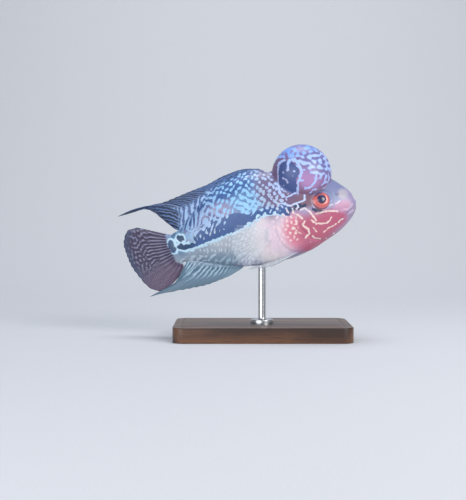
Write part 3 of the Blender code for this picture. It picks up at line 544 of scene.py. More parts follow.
# Pearl strokes drawn by hand on the hump and the cheek: (half width, places along it).
STROKES = (
    (0.8, ((54.5, 42), (56.4, 35), (57.8, 25.5), (58.2, 18.8), (56.6, 15.4), (53, 13.9), (48.6, 15),
           (44.3, 16.8), (42.6, 22))),
    (0.7, ((42.4, 23.5), (42.8, 19.5), (44, 15))), (1.1, ((55.7, 39.8), (52, 42.4), (49.5, 42.9))),
    (1.2, ((48.5, 34.5), (47.4, 40.7), (43.8, 42.7), (41, 40.4), (38.6, 35), (38.2, 31.2), (40.4, 27.2), (42.4, 23.5))),
    (0.9, ((41.3, 25.3), (38.2, 24.4))), (0.7, ((53.3, 29.2), (51.2, 27.5), (50, 24.9))),
    (0.9, ((37.9, 18.5), (34.6, 18.4), (32.3, 19.4), (30, 21.7), (28.4, 23.6), (27.4, 27.9))),
    (0.7, ((34.5, 14.2), (31.8, 16), (29.2, 16.3))), (0.7, ((24.5, 18.6), (22.3, 19.9), (19.7, 20.6))),
    (1.2, ((58.8, 44), (54.4, 46.9), (51.3, 46.3))), (1.0, ((49.6, 50.4), (45, 51.6), (40.4, 51))),
    (0.8, ((34.4, -2.9), (32, -2.8), (29, -2.9), (25.3, -2.1), (20.9, -2.6), (15.7, -3.8))),
    (0.7, ((32.7, -10.3), (29, -11.4), (25.6, -11.5), (22.9, -9.6), (21.2, -7.1))),
    (0.6, ((29.1, -18), (25.1, -15.7), (19.9, -14.1), (16.5, -12.2), (12.9, -10.2))),
    (0.7, ((36.7, -12.9), (35, -16.9))), (0.8, ((38.5, -19.3), (36.4, -21.9), (32.9, -22.6))),
    (0.9, ((43.8, 2.4), (40.6, 3.1), (37.1, -0.6), (35.3, -4.6), (33.5, -8))),
    (0.9, ((37, -7.3), (33.9, -10.4))), (0.8, ((50, 4.2), (49.9, 1.1), (46.7, -1.3), (43.8, -4.9))),
    (1.0, ((48.6, -4.6), (49.2, -8.2))),
    (0.9, ((42.3, -7), (44.6, -9.6), (40.6, -14), (40.5, -17.1), (44.6, -20.1))),
    (0.7, ((51.9, -10.1), (49, -14.3), (45.8, -16.5))),
    (0.8, ((61.9, 11.2), (58.6, 9.9), (55.7, 9.6), (50.8, 6.6), (47.7, 7.9), (42.7, 8.6), (39.6, 9.2),
           (39.4, 13.3))),
    (0.6, ((21.7, 1.8), (18.5, 2), (15.2, 2.6), (13, 3.8))),
    (1.0, ((43.6, 32.9),)), (0.8, ((40.7, 28.5),)), (0.7, ((45.7, 29.4),)), (1.0, ((52.4, 33.4),)),
    (0.7, ((53.7, 23.4),)), (0.8, ((54.4, 18.9),)), (0.6, ((51.5, 16.4),)), (1.0, ((57.9, 43),)),
    (0.9, ((21.4, -20.4),)), (0.7, ((28.1, -23.5),)), (0.8, ((47.1, 3.6),)), (0.6, ((19.5, 5.2),)),
    (0.7, ((40.5, -24),)), (1.0, ((46, 7.6), (45.4, 4.6))), (0.9, ((54.8, 5.6), (53.6, 1.4))),
)

# The worm pattern's wave length by reach, and the table of waves passed on the way from the lips.
WAVE_REACHES, WAVES_MM = (0, 60, 75, 90, 110, 130, 145, 160), (3.5, 4.0, 4.5, 4.3, 4.5, 4.9, 4.2, 3.7)
wave_table = np.cumsum(1 / np.interp(np.arange(0, 240.0), WAVE_REACHES, WAVES_MM))


def spray(reach, rise, base, sprays):
    """Colours blended over a plan of soft ovals."""
    colour = np.tile(np.array(linear(base)[:3]), (len(reach), 1))
    for tint, at_reach, at_rise, long, high in sprays:
        away = np.sqrt(((reach - at_reach) / long) ** 2 + ((rise - at_rise) / high) ** 2)
        weight = 1 - ease(away, 0.55, 1.45)
        colour += weight[:, None] * (np.array(linear(tint)[:3]) - colour)
    return colour


def laid_out(reach, rise):
    """A place on the unrolled flank, in waves of the pattern behind the lips and up from the back."""
    back, belly, half = section(reach)
    up = np.clip(rise / np.where(rise > 0, back, belly), -1, 1)
    arc = girth(reach, np.arcsin(up)) - girth(reach, np.full(len(reach), np.pi / 2))
    arc += np.maximum(rise - back, 0) + np.minimum(rise + belly, 0)
    return np.stack([np.interp(reach, np.arange(0, 240.0), wave_table),
                     arc / np.interp(reach, WAVE_REACHES, WAVES_MM), 0 * reach], 1)


def markings(at):
    """The airbrush plan at points of the straight fish, from its colours to the lie of the worms."""
    reach, side, rise = at.T
    back, belly, half = section(reach)
    flat = at[:, [0, 2]]
    x, y, z = ((at - HUMP_AT) / HUMP_HALF).T
    on_hump = (1 - ease(np.sqrt(x * x + y * y + z * z), 0.99, 1.04)) * ease(rise, 8, 13)
    plan = {"hump": on_hump}
    for name, base, sprays, hump_base, hump_sprays in (
        ("ground", "989ec0", GROUND_SPRAYS, "7c5e84", HUMP_GROUNDS),
        ("pearl", "b4cdee", PEARL_SPRAYS, "a4bef0", HUMP_PEARLS),
        ("dark", "3a5a90", DARK_SPRAYS, "405288", ()),
    ):
        plan[name] = spray(reach, rise, base, sprays)
        plan[name] += on_hump[:, None] * (spray(reach, rise, hump_base, hump_sprays) - plan[name])

    under = rise - np.interp(reach, BAND_REACH, BAND_LOW)
    over = np.interp(reach, BAND_REACH, BAND_HIGH) - rise
    over *= np.interp(reach, (98, 104, 132, 138), (1, 0.35, 0.35, 1))
    inside = np.where((reach < 38) | (reach > 140), -9, np.minimum(under, over))
    upper = ease(under - over, -2, 2)
    ragged = 5 * (1 - ease(reach, 80, 92)) + 3
    ragged += upper * (np.interp(reach, BAND_REACH, BAND_RAGGED) - ragged)
    rim = (1 - upper) * ease(reach, 56, 62) * (1 - on_hump)
    for half_width, line in DARK_SPOTS:
        spot = half_width - near_line(flat, line)
        rim = np.where((spot > inside) & (reach > 100), 1, rim)
        ragged = np.where(spot > inside, 2.2, ragged)
        inside = np.maximum(inside, spot)
    patch = np.where(on_hump > 0.02, PATCH_HALF - near_line(flat, PATCH), -9)
    plan["ragged"] = np.where(patch > inside, 1.0, ragged)
    plan["rim"] = rim
    plan["band"] = np.clip(np.maximum(inside, patch), -9, 9)

    above = ease(under, -3, 0)
    flank = above * ease(reach, 48, 56) * (1 - on_hump)
    solid = np.exp(-(((reach - 84) / 8) ** 2 + ((rise - 14) / 9) ** 2))
    below = (1 - above) * ease(reach, 64, 84)
    stalk = ease(reach, 136, 142) * (1 - ease(np.abs(rise - 2), 8, 12))
    bright = ease(rise - 0.9 * reach, -10, 6)
    gill = (1 - above) * ease(reach, 43, 50) * (1 - ease(reach, 64, 76)) * ease(rise, -27, -20)
    # Where the worms straighten into stripes, and which way these run: along the back, down the rear
    # flank below the soft dorsal rays, and backward into the anal fin.
    along_back = (1 - ease(back - rise, 3, 11)) * ease(reach, 70, 80) * (1 - ease(reach, 104, 112))
    down_flank = ease(reach, 106, 120) * ease(under, 10, 16) * (1 - ease(reach, 138, 142))
    to_anal = ease(-rise / belly, 0.5, 0.75) * ease(reach, 98, 112)
    plan["streak"] = np.clip(0.4 * along_back + 0.78 * down_flank + 0.85 * to_anal, 0, 0.9)
    course = np.radians(-24 * along_back - 66 * down_flank - 17 * to_anal)
    nape = ease(rise, 18, 30) * (1 - ease(reach, 66, 86))
    plan["cover"] = (
        flank * (0.6 + 0.12 * solid - 0.08 * ease(reach, 66, 84) + 0.02 * ease(reach, 96, 106) - 0.04 * down_flank - 0.09 * nape)
        + 0.46 * below - 0.2 * stalk
        + on_hump * (0.24 + 0.3 * bright) + 0.46 * gill
    )
    belly_dots = np.maximum(0.35 * gill, below * (1 - ease(-rise / belly, 0.45, 0.7)))
    nape_dots = 0.78 * (1 - ease(reach, 66, 90)) * (1 - 0.85 * ease(rise, 20, 30))
    rear_dots = 0.52 * (1 - ease(reach, 100, 114)) * (1 - 0.5 * solid)
    upper_dots = flank * np.maximum(nape_dots, rear_dots)
    plan["spotty"] = np.maximum(upper_dots, belly_dots)
    plan["lie"] = laid_out(reach, rise)
    ahead = laid_out(reach + 0.5 * np.cos(course), rise + 0.5 * np.sin(course)) - plan["lie"]
    plan["turn"] = np.arctan2(ahead[:, 1], ahead[:, 0]) + np.pi / 2

    plan["stroke"] = np.full(len(at), 9.0)
    near = (reach < 66) & (rise > -32)
    for half_width, line in STROKES:
        away = near_line(flat[near], line) - half_width
        plan["stroke"][near] = np.minimum(plan["stroke"][near], away)
    return plan


def paint(obj, at):
    """Keeps the markings on the mesh, one value for each vertex."""
    for name, values in markings(at).items():
        if values.ndim == 1:
            kind, field = "FLOAT", "value"
        elif name == "lie":
            kind, field = "FLOAT_VECTOR", "vector"
        else:
            kind, field = "FLOAT_COLOR", "color"
            values = np.concatenate([values, np.ones((len(values), 1))], 1)
        made = obj.data.attributes.new(name, kind, "POINT")
        made.data.foreach_set(field, np.ascontiguousarray(values, np.float32).ravel())


paint(skin, places)
mouth_shade = skin.data.attributes.new("mouth", "FLOAT", "POINT")
mouth_shade.data.foreach_set("value", mouth_depth.astype(np.float32))
skin.data.vertices.foreach_set("co", pose(places).astype(np.float32).ravel())
skin.data.update()
skin.data.shade_smooth()


# Painted skin: airbrushed pearl resin under a satin lacquer. Pearls and worms are 1.5 to 3 mm wide
# and lie 3.5 to 4 mm apart, as on the fish, with edges softened over 0.3 mm by the spray. The
# flank's pitch is in waves of the worms, the hump's in mm.
PLAN_VALUES = "cover", "spotty", "streak", "turn", "hump", "stroke", "band", "ragged", "rim"
PEARL_WIDE, PEARL_HIGH, HUMP_WAVE = 0.84, 1.06, 4.3
EDGE_PEARL = "b6d6e8"


def marked(tree):
    """The markings as one colour, and how far pearls cover each place."""
    place = add(tree, "TexCoord", out=3)
    lie = add(tree, "Attribute", out=1, attribute_name="lie")
    plan = {name: add(tree, "Attribute", out=2, attribute_name=name) for name in PLAN_VALUES}
    ground = add(tree, "Attribute", attribute_name="ground")
    pearl = add(tree, "Attribute", attribute_name="pearl")
    dark = add(tree, "Attribute", attribute_name="dark")

    # Worms and stripes, then round pearls in slanting rows, then the hump's bolder worms.
    wobble = add(tree, "TexNoise", {"Vector": lie, "Scale": 0.9, "Detail": 2.0}, out=1)
    wobble = add(tree, "VectorMath", {0: wobble, 1: (0.5, 0.5, 0.5)}, operation="SUBTRACT")
    swayed = add(tree, "VectorMath", {0: wobble, 1: (1.0, 1.0, 0.0), 2: lie}, operation="MULTIPLY_ADD")
    worm = add(tree, "TexGabor", {"Vector": swayed, "Scale": 0.31, "Frequency": 3.2,
                                  "Anisotropy": plan["streak"], "Orientation": plan["turn"]})
    slant = add(tree, "Mapping", {"Vector": swayed, "Rotation": (0, 0, math.radians(45)),
                                  "Scale": (1 / PEARL_WIDE, 1 / PEARL_HIGH, 1.0)})
    apart = add(tree, "TexVoronoi", {"Vector": slant, "Scale": 1.0, "Randomness": 0.35},
                voronoi_dimensions="2D", feature="F1")
    dots = add(tree, "MapRange", {0: apart, 1: 0.0, 2: 0.6, 3: 0.95, 4: 0.05})
    bold = add(tree, "TexGabor", {"Vector": place, "Scale": 1000 / HUMP_WAVE / 3, "Frequency": 3.0,
                                  "Anisotropy": 0.0}, gabor_type="3D")
    field = add(tree, "Mix", {0: plan["spotty"], 2: worm, 3: dots})
    field = add(tree, "Mix", {0: plan["hump"], 2: field, 3: bold})
    bar = add(tree, "Math", {0: 1.0, 1: plan["cover"]}, operation="SUBTRACT")
    over = add(tree, "Math", {0: field, 1: bar}, operation="SUBTRACT")
    covered = add(tree, "MapRange", {0: over, 1: -0.06, 2: 0.06}, interpolation_type="SMOOTHSTEP")
    colour = add(tree, "MixRGB", {0: covered, 1: ground, 2: pearl})

    # The black band, its spots and the hump's patch, ragged where pearls reach in, over a pale rim.
    jag = add(tree, "Math", {0: 0.5, 1: field}, operation="SUBTRACT")
    edge = add(tree, "Math", {0: jag, 1: plan["ragged"], 2: plan["band"]}, operation="MULTIPLY_ADD")
    rim = add(tree, "MapRange", {0: edge, 1: -2.1, 2: -1.2}, interpolation_type="SMOOTHSTEP")
    rim = add(tree, "Math", {0: rim, 1: plan["rim"]}, operation="MULTIPLY")
    colour = add(tree, "MixRGB", {0: rim, 1: colour, 2: linear(EDGE_PEARL)})
    inside = add(tree, "MapRange", {0: edge, 1: -0.25, 2: 0.35}, interpolation_type="SMOOTHSTEP")
    colour = add(tree, "MixRGB", {0: inside, 1: colour, 2: dark})

    # The strokes, a little unsteady as by hand, and the mottle of the spray over all.
    shiver = add(tree, "TexNoise", {"Vector": place, "Scale": 500.0, "Detail": 1.0})
    shiver = add(tree, "Math", {0: shiver, 1: 0.5}, operation="SUBTRACT")
    drawn = add(tree, "Math", {0: shiver, 1: 1.9, 2: plan["stroke"]}, operation="MULTIPLY_ADD")
    drawn = add(tree, "MapRange", {0: drawn, 1: 0.1, 2: -0.5}, interpolation_type="SMOOTHSTEP")
    colour = add(tree, "MixRGB", {0: drawn, 1: colour, 2: pearl})
    mottle = add(tree, "TexNoise", {"Vector": place, "Scale": 1400.0, "Detail": 2.0})
    shade = add(tree, "MapRange", {0: mottle, 1: 0.3, 2: 0.7, 3: 0.94, 4: 1.05})
    colour = add(tree, "MixRGB", {0: 1.0, 1: colour, 2: shade}, blend_type="MULTIPLY")
    return colour, covered, place


painted_skin, tree, shader = new_material("airbrushed_resin_skin", Roughness=0.42, Coat_Weight=0.25,
                                          Coat_Roughness=0.25, Specular_IOR_Level=0.4)
colour, covered, place = marked(tree)
# Along the mouth's line the colour is darkened to 0.35: painted shade in the crease of the closed mouth.
mouth = add(tree, "Attribute", out=2, attribute_name="mouth")
mouth_crease_shade = add(tree, "MapRange", {0: mouth, 1: 0.2, 2: 1.0, 3: 0.35, 4: 1.0}, interpolation_type="SMOOTHSTEP")
colour = add(tree, "MixRGB", {0: 1.0, 1: colour, 2: mouth_crease_shade}, blend_type="MULTIPLY")
tree.links.new(colour, shader.inputs["Base Color"])
grain = add(tree, "TexVoronoi", {"Vector": place, "Scale": 900.0})
raised = add(tree, "Math", {0: covered, 1: 0.6, 2: grain}, operation="MULTIPLY_ADD")
relief = add(tree, "Bump", {"Height": raised, "Strength": 0.12, "Distance": 0.0003})
tree.links.new(relief, shader.inputs["Normal"])
skin.data.materials.clear()
skin.data.materials.append(painted_skin)
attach(skin, "root")
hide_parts("head", "nuchal_hump", "trunk", "tail_stalk")

# Scales. Thin plates of skin-covered bone in rows along the flank, each rooted under the one before
# it, 3.1 mm on from row to row and 3.9 mm apart up the side, smaller toward the tail. The cast
# carries every plate with its rounded rear edge just free, painted with the skin.
SCALE_STEP, SCALE_ROW = 3.1, 3.9
SCALE_LONG, SCALE_HALF, SCALE_THICK = 5.8, 2.9, 0.12
SCALE_LIFT, SCALE_END = 0.5, 151.5
SCALE_SIZE_AT, SCALE_SIZE = (55, 66, 84, 110, 135, 152), (0.72, 0.9, 1.0, 0.92, 0.72, 0.6)


def angle_at(reach, arc):
    """The angle round the body at an arc length from the flank's axis."""
    row = np.clip(np.round(reach), 0, 156).astype(int)
    found = np.empty(len(reach))
    for r in np.unique(row):
        here = row == r
        found[here] = np.interp(arc[here], GIRTHS[r], GIRTH_ANGLES)
    return found


def scale_grid(long_steps, across_steps):
    """One scale's points: share from root to rear edge, and share across, narrowed to a round edge."""
    along = np.linspace(0, 1, long_steps)
    wide = np.where(along < 0.45, 0.72 + 0.28 * np.sin(along / 0.45 * np.pi / 2),
                    np.sqrt(np.maximum(0.0, 1 - ((along - 0.45) / 0.57) ** 2)))
    across = np.linspace(-1, 1, across_steps)
    a = np.repeat(along, across_steps)
    b = (wide[:, None] * across).ravel()
    a = a - 0.05 * np.abs(np.tile(across, long_steps)) ** 2 * (a > 0.9)
    return a, b


def make_scales(name, left):
    size_at = np.arange(50, 160, 0.25)
    size = np.interp(size_at, SCALE_SIZE_AT, SCALE_SIZE)
    rank = np.cumsum(0.25 / (SCALE_STEP * size))
    roots = []
    for row in range(-20, 21):
        ranks = np.arange(math.ceil(rank[0]), rank[-1]) + 0.5 * (row % 2)
        reach = np.interp(ranks, rank, size_at)
        arc = row * SCALE_ROW * np.interp(reach, SCALE_SIZE_AT, SCALE_SIZE)
        roots.append(np.stack([reach, arc, np.full(len(reach), row)], 1))
    roots = np.concatenate(roots)
    r = np.clip(np.round(roots[:, 0]), 0, 156).astype(int)
    scale = np.interp(roots[:, 0], SCALE_SIZE_AT, SCALE_SIZE)
    fits = (roots[:, 1] < GIRTHS[r, -1] - 0.3) & (roots[:, 1] > GIRTHS[r, 0] + 0.3)
    edge = gill_reach(angle_at(roots[:, 0], roots[:, 1]))
    fits &= (roots[:, 0] > edge - 2.2) & (roots[:, 0] + SCALE_LONG * scale < SCALE_END)
    roots, scale = roots[fits], scale[fits]
    a, b = scale_grid(6, 7)
    draw = np.random.default_rng(7 + left)
    lift = SCALE_LIFT * (0.9 + 0.2 * draw.random(len(roots)))
    lift *= (0.12 + 0.88 * ease(roots[:, 1], -14, 4)) * (1 - 0.6 * ease(roots[:, 0], 138, 148))
    reach = roots[:, :1] + a * SCALE_LONG * scale[:, None]
    arc = roots[:, 1:2] + b * SCALE_HALF * scale[:, None]
    rows = np.clip(np.round(reach), 0, 156).astype(int)
    arc = np.clip(arc, GIRTHS[rows, 0] + 0.05, GIRTHS[rows, -1] - 0.05)
    swell = -SCALE_BED + 0.03 + lift[:, None] * (0.9 * a + 0.12 * a ** 6 - 0.10 * b * b * (1 - a))
    turn = angle_at(reach.ravel(), arc.ravel())
    top = body_point(reach.ravel(), turn, swell.ravel()).reshape(len(roots), -1, 3)
    low = body_point(reach.ravel(), turn, swell.ravel() - SCALE_THICK).reshape(len(roots), -1, 3)
    grid = np.arange(42).reshape(6, 7)
    rim = np.concatenate([grid[0], grid[1:, -1], grid[-1, -2::-1], grid[-2:0:-1, 0]])
    points = np.concatenate([top, low[:, rim]], 1)
    points[:, :, 1] *= left
    quads = [[grid[i, j], grid[i, j + 1], grid[i + 1, j + 1], grid[i + 1, j]] for i in range(5) for j in range(6)]
    count = len(rim)
    sides = [[rim[k], 42 + k, 42 + (k + 1) % count, rim[(k + 1) % count]] for k in range(count)]
    one = quads + sides + [list(range(42, 42 + count))]
    each = 42 + count
    faces = [[int(v) + each * k for v in face] for k in range(len(roots)) for face in one]
    flat = points.reshape(-1, 3)
    made = from_arrays(name, pose(flat), faces)
    outward(made)
    own = np.concatenate([np.stack([a, b], 1), np.stack([a[rim], b[rim]], 1)])
    paint(made, flat)
    edge_of = made.data.attributes.new("plate", "FLOAT_VECTOR", "POINT")
    plate = np.concatenate([np.tile(own, (len(roots), 1)), np.repeat(draw.random(len(roots)), each)[:, None]], 1)
    edge_of.data.foreach_set("vector", plate.astype(np.float32).ravel())
    # The map OFBake: each scale is a small patch at its root's place on the unrolled flank.
    patch_at = np.stack([(roots[:, 0] - 50) / 115 + 0.03, roots[:, 1] / 130 + 0.5], 1)
    spot = patch_at[:, None] + 0.003 * (own * (1.0, 0.5))[None]
    spot = spot.reshape(-1, 2)
    loops = np.empty(len(made.data.loops), np.int32)
    made.data.loops.foreach_get("vertex_index", loops)
    unwrap = made.data.uv_layers.new(name="OFBake")
    unwrap.data.foreach_set("uv", spot[loops].astype(np.float32).ravel())
    alone(made)
    bpy.ops.object.shade_smooth_by_angle(angle=math.radians(50))
    return made


# Scale skin: the same paint over bony plates, each with a fine ridge near its rear edge, painted shade toward
# that edge and growth lines 0.12 mm apart, drawn 0.35 mm apart so that they show, under a glossier lacquer.
scale_paint, tree, shader = new_material("airbrushed_resin_scales", Roughness=0.4, Coat_Weight=0.15,
                                         Coat_Roughness=0.2, Specular_IOR_Level=0.4)
colour, covered, place = marked(tree)
plate = add(tree, "Attribute", out=1, attribute_name="plate")
parts = add(tree, "SeparateXYZ", {0: plate}).node.outputs
centred = add(tree, "VectorMath", {0: plate, 1: (0.35, 0.0, 0.0)}, operation="SUBTRACT")
flat_plate = add(tree, "VectorMath", {0: centred, 1: (1.0, 0.7, 0.0)}, operation="MULTIPLY")
from_focus = add(tree, "VectorMath", {0: flat_plate}, out=1, operation="LENGTH")
lines = add(tree, "Math", {0: from_focus, 1: 95.0}, operation="MULTIPLY")
lines = add(tree, "Math", {0: lines}, operation="SINE")
# Each plate is darkened toward its rear edge, down to 0.93: painted shade at its lifted rim. Each plate's tone also
# varies at random.
rear = add(tree, "MapRange", {0: parts[0], 1: 0.8, 2: 1.0, 3: 1.0, 4: 0.93})
tone = add(tree, "MapRange", {0: parts[2], 1: 0.0, 2: 1.0, 3: 0.94, 4: 1.05})
tone = add(tree, "Math", {0: rear, 1: tone}, operation="MULTIPLY")
colour = add(tree, "MixRGB", {0: 1.0, 1: colour, 2: tone}, blend_type="MULTIPLY")
tree.links.new(colour, shader.inputs["Base Color"])
height = add(tree, "Math", {0: lines, 1: 0.06, 2: covered}, operation="MULTIPLY_ADD")
relief = add(tree, "Bump", {"Height": height, "Strength": 0.25, "Distance": 0.0002})
tree.links.new(relief, shader.inputs["Normal"])
for left, name in ((1, "scales_left"), (-1, "scales_right")):
    scales = make_scales(name, left)
    scales.data.materials.append(scale_paint)
    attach(scales, "root")

# Eyes. Each is one cast of clear resin over a painted iris: a domed disc, orange-red with a darker
# ring, round a dark pupil whose lens stands a little proud, set into the socket from behind.
PUPIL_RADIUS, PUPIL_AHEAD, PUPIL_UP = 3.3, 0.6, 0.9

# Painted iris under clear resin: a wet, mirror-sharp coat, with fine fibres that run out from the
# pupil, 0.15 mm wide, drawn 0.4 mm wide so that they show.
iris, tree, shader = new_material("resin_eye", Roughness=0.35, Coat_Weight=0.8, Coat_Roughness=0.05, IOR=1.45)
spoke = add(tree, "Attribute", out=1, attribute_name="spoke")
pupil = add(tree, "Attribute", out=2, attribute_name="pupil")
fibres = add(tree, "TexNoise", {"Vector": spoke, "Scale": 9.0, "Detail": 3.0})
bands = add(tree, "MapRange", {0: pupil, 1: 2.9, 2: 7.6})
shaken = add(tree, "Math", {0: fibres, 1: 0.16, 2: bands}, operation="MULTIPLY_ADD")
tint = add(tree, "ValToRGB", {0: shaken}, steps=(
    (0.0, "24264f"), (0.16, "2a2c52"), (0.2, "9c4a4c"), (0.3, "ca6660"), (0.58, "c8605c"), (0.72, "b4505a"),
    (0.86, "c66c6e"), (1.0, "7c4458"),
))
# The iris's upper rim is darkened toward dark mauve: a painted shadow of the upper lid that hangs over it.
above = add(tree, "VectorMath", {0: spoke, 1: (0.3, 0.95, 0.0)}, out=1, operation="DOT_PRODUCT")
above = add(tree, "MapRange", {0: above, 1: 0.6, 2: 0.97}, interpolation_type="SMOOTHSTEP")
outer = add(tree, "MapRange", {0: pupil, 1: 3.3, 2: 4.9}, interpolation_type="SMOOTHSTEP")
lid_shadow_mask = add(tree, "Math", {0: above, 1: outer}, operation="MULTIPLY")
tint = add(tree, "MixRGB", {0: lid_shadow_mask, 1: tint, 2: linear("4e3c62")})
tree.links.new(tint, shader.inputs["Base Color"])
for left, name in ((1, "left"), (-1, "right")):
    centre, rim, turn = eye_frame(left)
    bpy.ops.object.select_all(action="DESELECT")
    bpy.ops.mesh.primitive_uv_sphere_add(segments=96, ring_count=64, radius=1)
    eye = bpy.context.object
    eye.name = "eyeball_" + name
    ball = read(eye.data.vertices, "co", 3) * (EYE_RADIUS, EYE_RADIUS, EYE_DEPTH)
    from_pupil = (ball[:, :2] * (-left, 1)) + (PUPIL_AHEAD, -PUPIL_UP)
    spread = np.linalg.norm(from_pupil, axis=1)
    lens = 0.5 * np.sqrt(np.maximum(0, 1 - (spread / PUPIL_RADIUS) ** 2))
    lens -= 0.2 * np.exp(-(((spread - 3.7) / 0.7) ** 2))
    ball[:, 2] += np.where(ball[:, 2] > 0, lens, 0)
    eye.data.vertices.foreach_set("co", pose(centre + ball @ turn).astype(np.float32).ravel())
    eye.data.update()
    outward(eye)
    eye.data.shade_smooth()
    kept = eye.data.attributes.new("pupil", "FLOAT", "POINT")
    kept.data.foreach_set("value", spread.astype(np.float32))
    kept = eye.data.attributes.new("spoke", "FLOAT_VECTOR", "POINT")
    spokes = np.concatenate([from_pupil / np.maximum(spread, 0.01)[:, None], spread[:, None] * 0.08], 1)
    kept.data.foreach_set("vector", spokes.astype(np.float32).ravel())
    eye.data.materials.append(iris)
    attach(eye, "root")
    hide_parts("eye_" + name)

# Fins. A fin is a web of skin on rays of bone that run out from its root: plain pointed spines in
# front, then soft rays that fork toward the edge. The cast is tinted resin, thickest along the
# rays, and its edge is scalloped between them.
WEB_THICK, RAY_THICK, EDGE_THICK = 0.35, 0.95, 0.22
GAP_COLUMNS, FIN_ROWS = 8, 44


def fin_blade(name, count, root_at, tip_at, bow_at, thick_at, notch, soft_from):
    """A closed blade through its rays. Each *_at gives places or sizes by ray number, also between rays."""
    ray = np.linspace(0, count - 1, (count - 1) * GAP_COLUMNS + 1)
    out = np.linspace(0, 1, FIN_ROWS) ** 1.1
    root, tip, bow = root_at(ray), tip_at(ray), bow_at(ray)
    hollow = notch * np.sin(np.pi * ray) ** 2
    tip = tip + (root - tip) * hollow[:, None]
    v = out[None, :, None]
    sheet = root[:, None] + (tip - root)[:, None] * v + bow[:, None] * (4 * v * (1 - v))
    across = np.gradient(sheet, axis=0)
    along = np.gradient(sheet, axis=1)
    normal = np.cross(along, across)
    normal /= np.maximum(np.linalg.norm(normal, axis=2, keepdims=True), 1e-9)
    off = np.abs(ray - np.round(ray))[:, None]
    fork = np.where(ray[:, None] >= soft_from, 0.17 * ease(out, 0.45, 0.95)[None], 0)
    ridge = np.maximum(np.exp(-(((off - fork) / 0.12) ** 2)), np.exp(-(((off + fork) / 0.12) ** 2)))
    slim = 1 - 0.65 * out[None]
    thick = WEB_THICK + (RAY_THICK - WEB_THICK) * ridge * slim
    thick = thick + (EDGE_THICK - thick) * out[None] ** 6
    thick = thick + np.maximum(thick_at(ray)[:, None] - thick, 0) * (1 - ease(out, 0.0, 0.3))[None]
    half = normal * (thick / 2)[:, :, None]
    points = np.concatenate([(sheet + half).reshape(-1, 3), (sheet - half).reshape(-1, 3)])
    rays, rows = sheet.shape[:2]
    grid = np.arange(rays * rows).reshape(rays, rows)
    top = np.stack([grid[:-1, :-1], grid[1:, :-1], grid[1:, 1:], grid[:-1, 1:]], -1).reshape(-1, 4)
    low = top[:, ::-1] + rays * rows
    rim = np.concatenate([grid[:, 0], grid[-1, 1:], grid[-2::-1, -1], grid[0, -2:0:-1]])
    nxt = np.roll(rim, -1)
    side = np.stack([rim, rim + rays * rows, nxt + rays * rows, nxt], 1)
    made = from_arrays(name, pose(points), np.concatenate([top, low, side]).tolist())
    outward(made)
    length = np.linalg.norm(np.diff(sheet, axis=1), axis=2)
    run = np.concatenate([np.zeros((rays, 1)), np.cumsum(length, 1)], 1)
    number = np.broadcast_to(ray[:, None], run.shape)
    web = np.stack([number, run, run[:, -1:] - run], -1).reshape(-1, 3)
    for field, kind, values in (
        ("web", "FLOAT_VECTOR", np.concatenate([web, web])),
        ("out", "FLOAT", np.tile(np.broadcast_to(out[None], run.shape).ravel(), 2)),
        ("ridge", "FLOAT", np.tile(ridge.ravel(), 2)),
    ):
        kept = made.data.attributes.new(field, kind, "POINT")
        kept.data.foreach_set("vector" if kind == "FLOAT_VECTOR" else "value",
                              np.ascontiguousarray(values, np.float32).ravel())
    paint(made, points)
    made.data.shade_smooth()
    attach(made, "root")
    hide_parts(name)
    made.name = name + "_blade"
    return made


def edge_curve(count, controls):
    """Tips by ray number, from (share of the rays, reach, rise) places along the fin's edge."""
    controls = np.array(controls, float)
    return lambda ray: np.stack([
        smooth_curve(ray / (count - 1), controls[:, 0], controls[:, 1]), 0 * ray,
        smooth_curve(ray / (count - 1), controls[:, 0], controls[:, 2])], 1)


DORSAL_RAYS, DORSAL_START, DORSAL_END = 28, 65.5, 141.5
DORSAL_TIPS = (
    (0.0, 72, 40.4), (0.148, 84, 42.2), (0.296, 97, 40.4), (0.444, 111, 37.4), (0.592, 128, 37.9),
    (0.704, 144, 38.5), (0.778, 158, 40.6), (22 / 27, 184.5, 43.2), (23 / 27, 162, 40.0),
    (0.889, 156, 35.2), (0.944, 151, 26.0), (1.0, 145, 15.0),
)
dorsal_edge = edge_curve(DORSAL_RAYS, DORSAL_TIPS)


def dorsal_root(ray):
    reach = DORSAL_START + (DORSAL_END - DORSAL_START) * ray / (DORSAL_RAYS - 1)
    return np.stack([reach, 0 * reach, section(reach)[0] - 1.2], 1)


def dorsal_tip(ray):
    return dorsal_edge(ray) + np.stack([0 * ray, 2.5 * (ray / DORSAL_RAYS) ** 3, 0 * ray], 1)


def dorsal_bow(ray):
    run = dorsal_tip(ray) - dorsal_root(ray)
    share = 0.06 + 0.08 * np.exp(-(((ray - 22) / 2.5) ** 2))
    return np.stack([-run[:, 2] * share, 0 * ray, run[:, 0] * share], 1)


dorsal = fin_blade("dorsal_fin", DORSAL_RAYS, dorsal_root, dorsal_tip, dorsal_bow,
                   lambda ray: np.full(len(ray), 2.0), 0.03, 17)

ANAL_RAYS, ANAL_START, ANAL_END = 17, 99, 146.5
ANAL_TIPS = (
    (0.0, 107, -36.0), (0.1875, 120, -37.7), (0.375, 136, -37.2), (0.5625, 153, -34.2), (0.6875, 166, -31.2),
    (0.75, 186, -27.3), (0.8125, 166, -26.4), (0.875, 159.5, -23.6), (1.0, 150.5, -16.8),
)
anal_edge = edge_curve(ANAL_RAYS, ANAL_TIPS)


def anal_root(ray):
    reach = ANAL_START + (ANAL_END - ANAL_START) * ray / (ANAL_RAYS - 1)
    return np.stack([reach, 0 * reach, 1.2 - section(reach)[1]], 1)


def anal_tip(ray):
    return anal_edge(ray) - np.stack([0 * ray, 3 * (ray / ANAL_RAYS) ** 2, 0 * ray], 1)


def anal_bow(ray):
    run = anal_tip(ray) - anal_root(ray)
    return np.stack([run[:, 2] * 0.05, 0 * ray, -run[:, 0] * 0.05], 1)


anal = fin_blade("anal_fin", ANAL_RAYS, anal_root, anal_tip, anal_bow,
                 lambda ray: np.full(len(ray), 2.0), 0.03, 8)

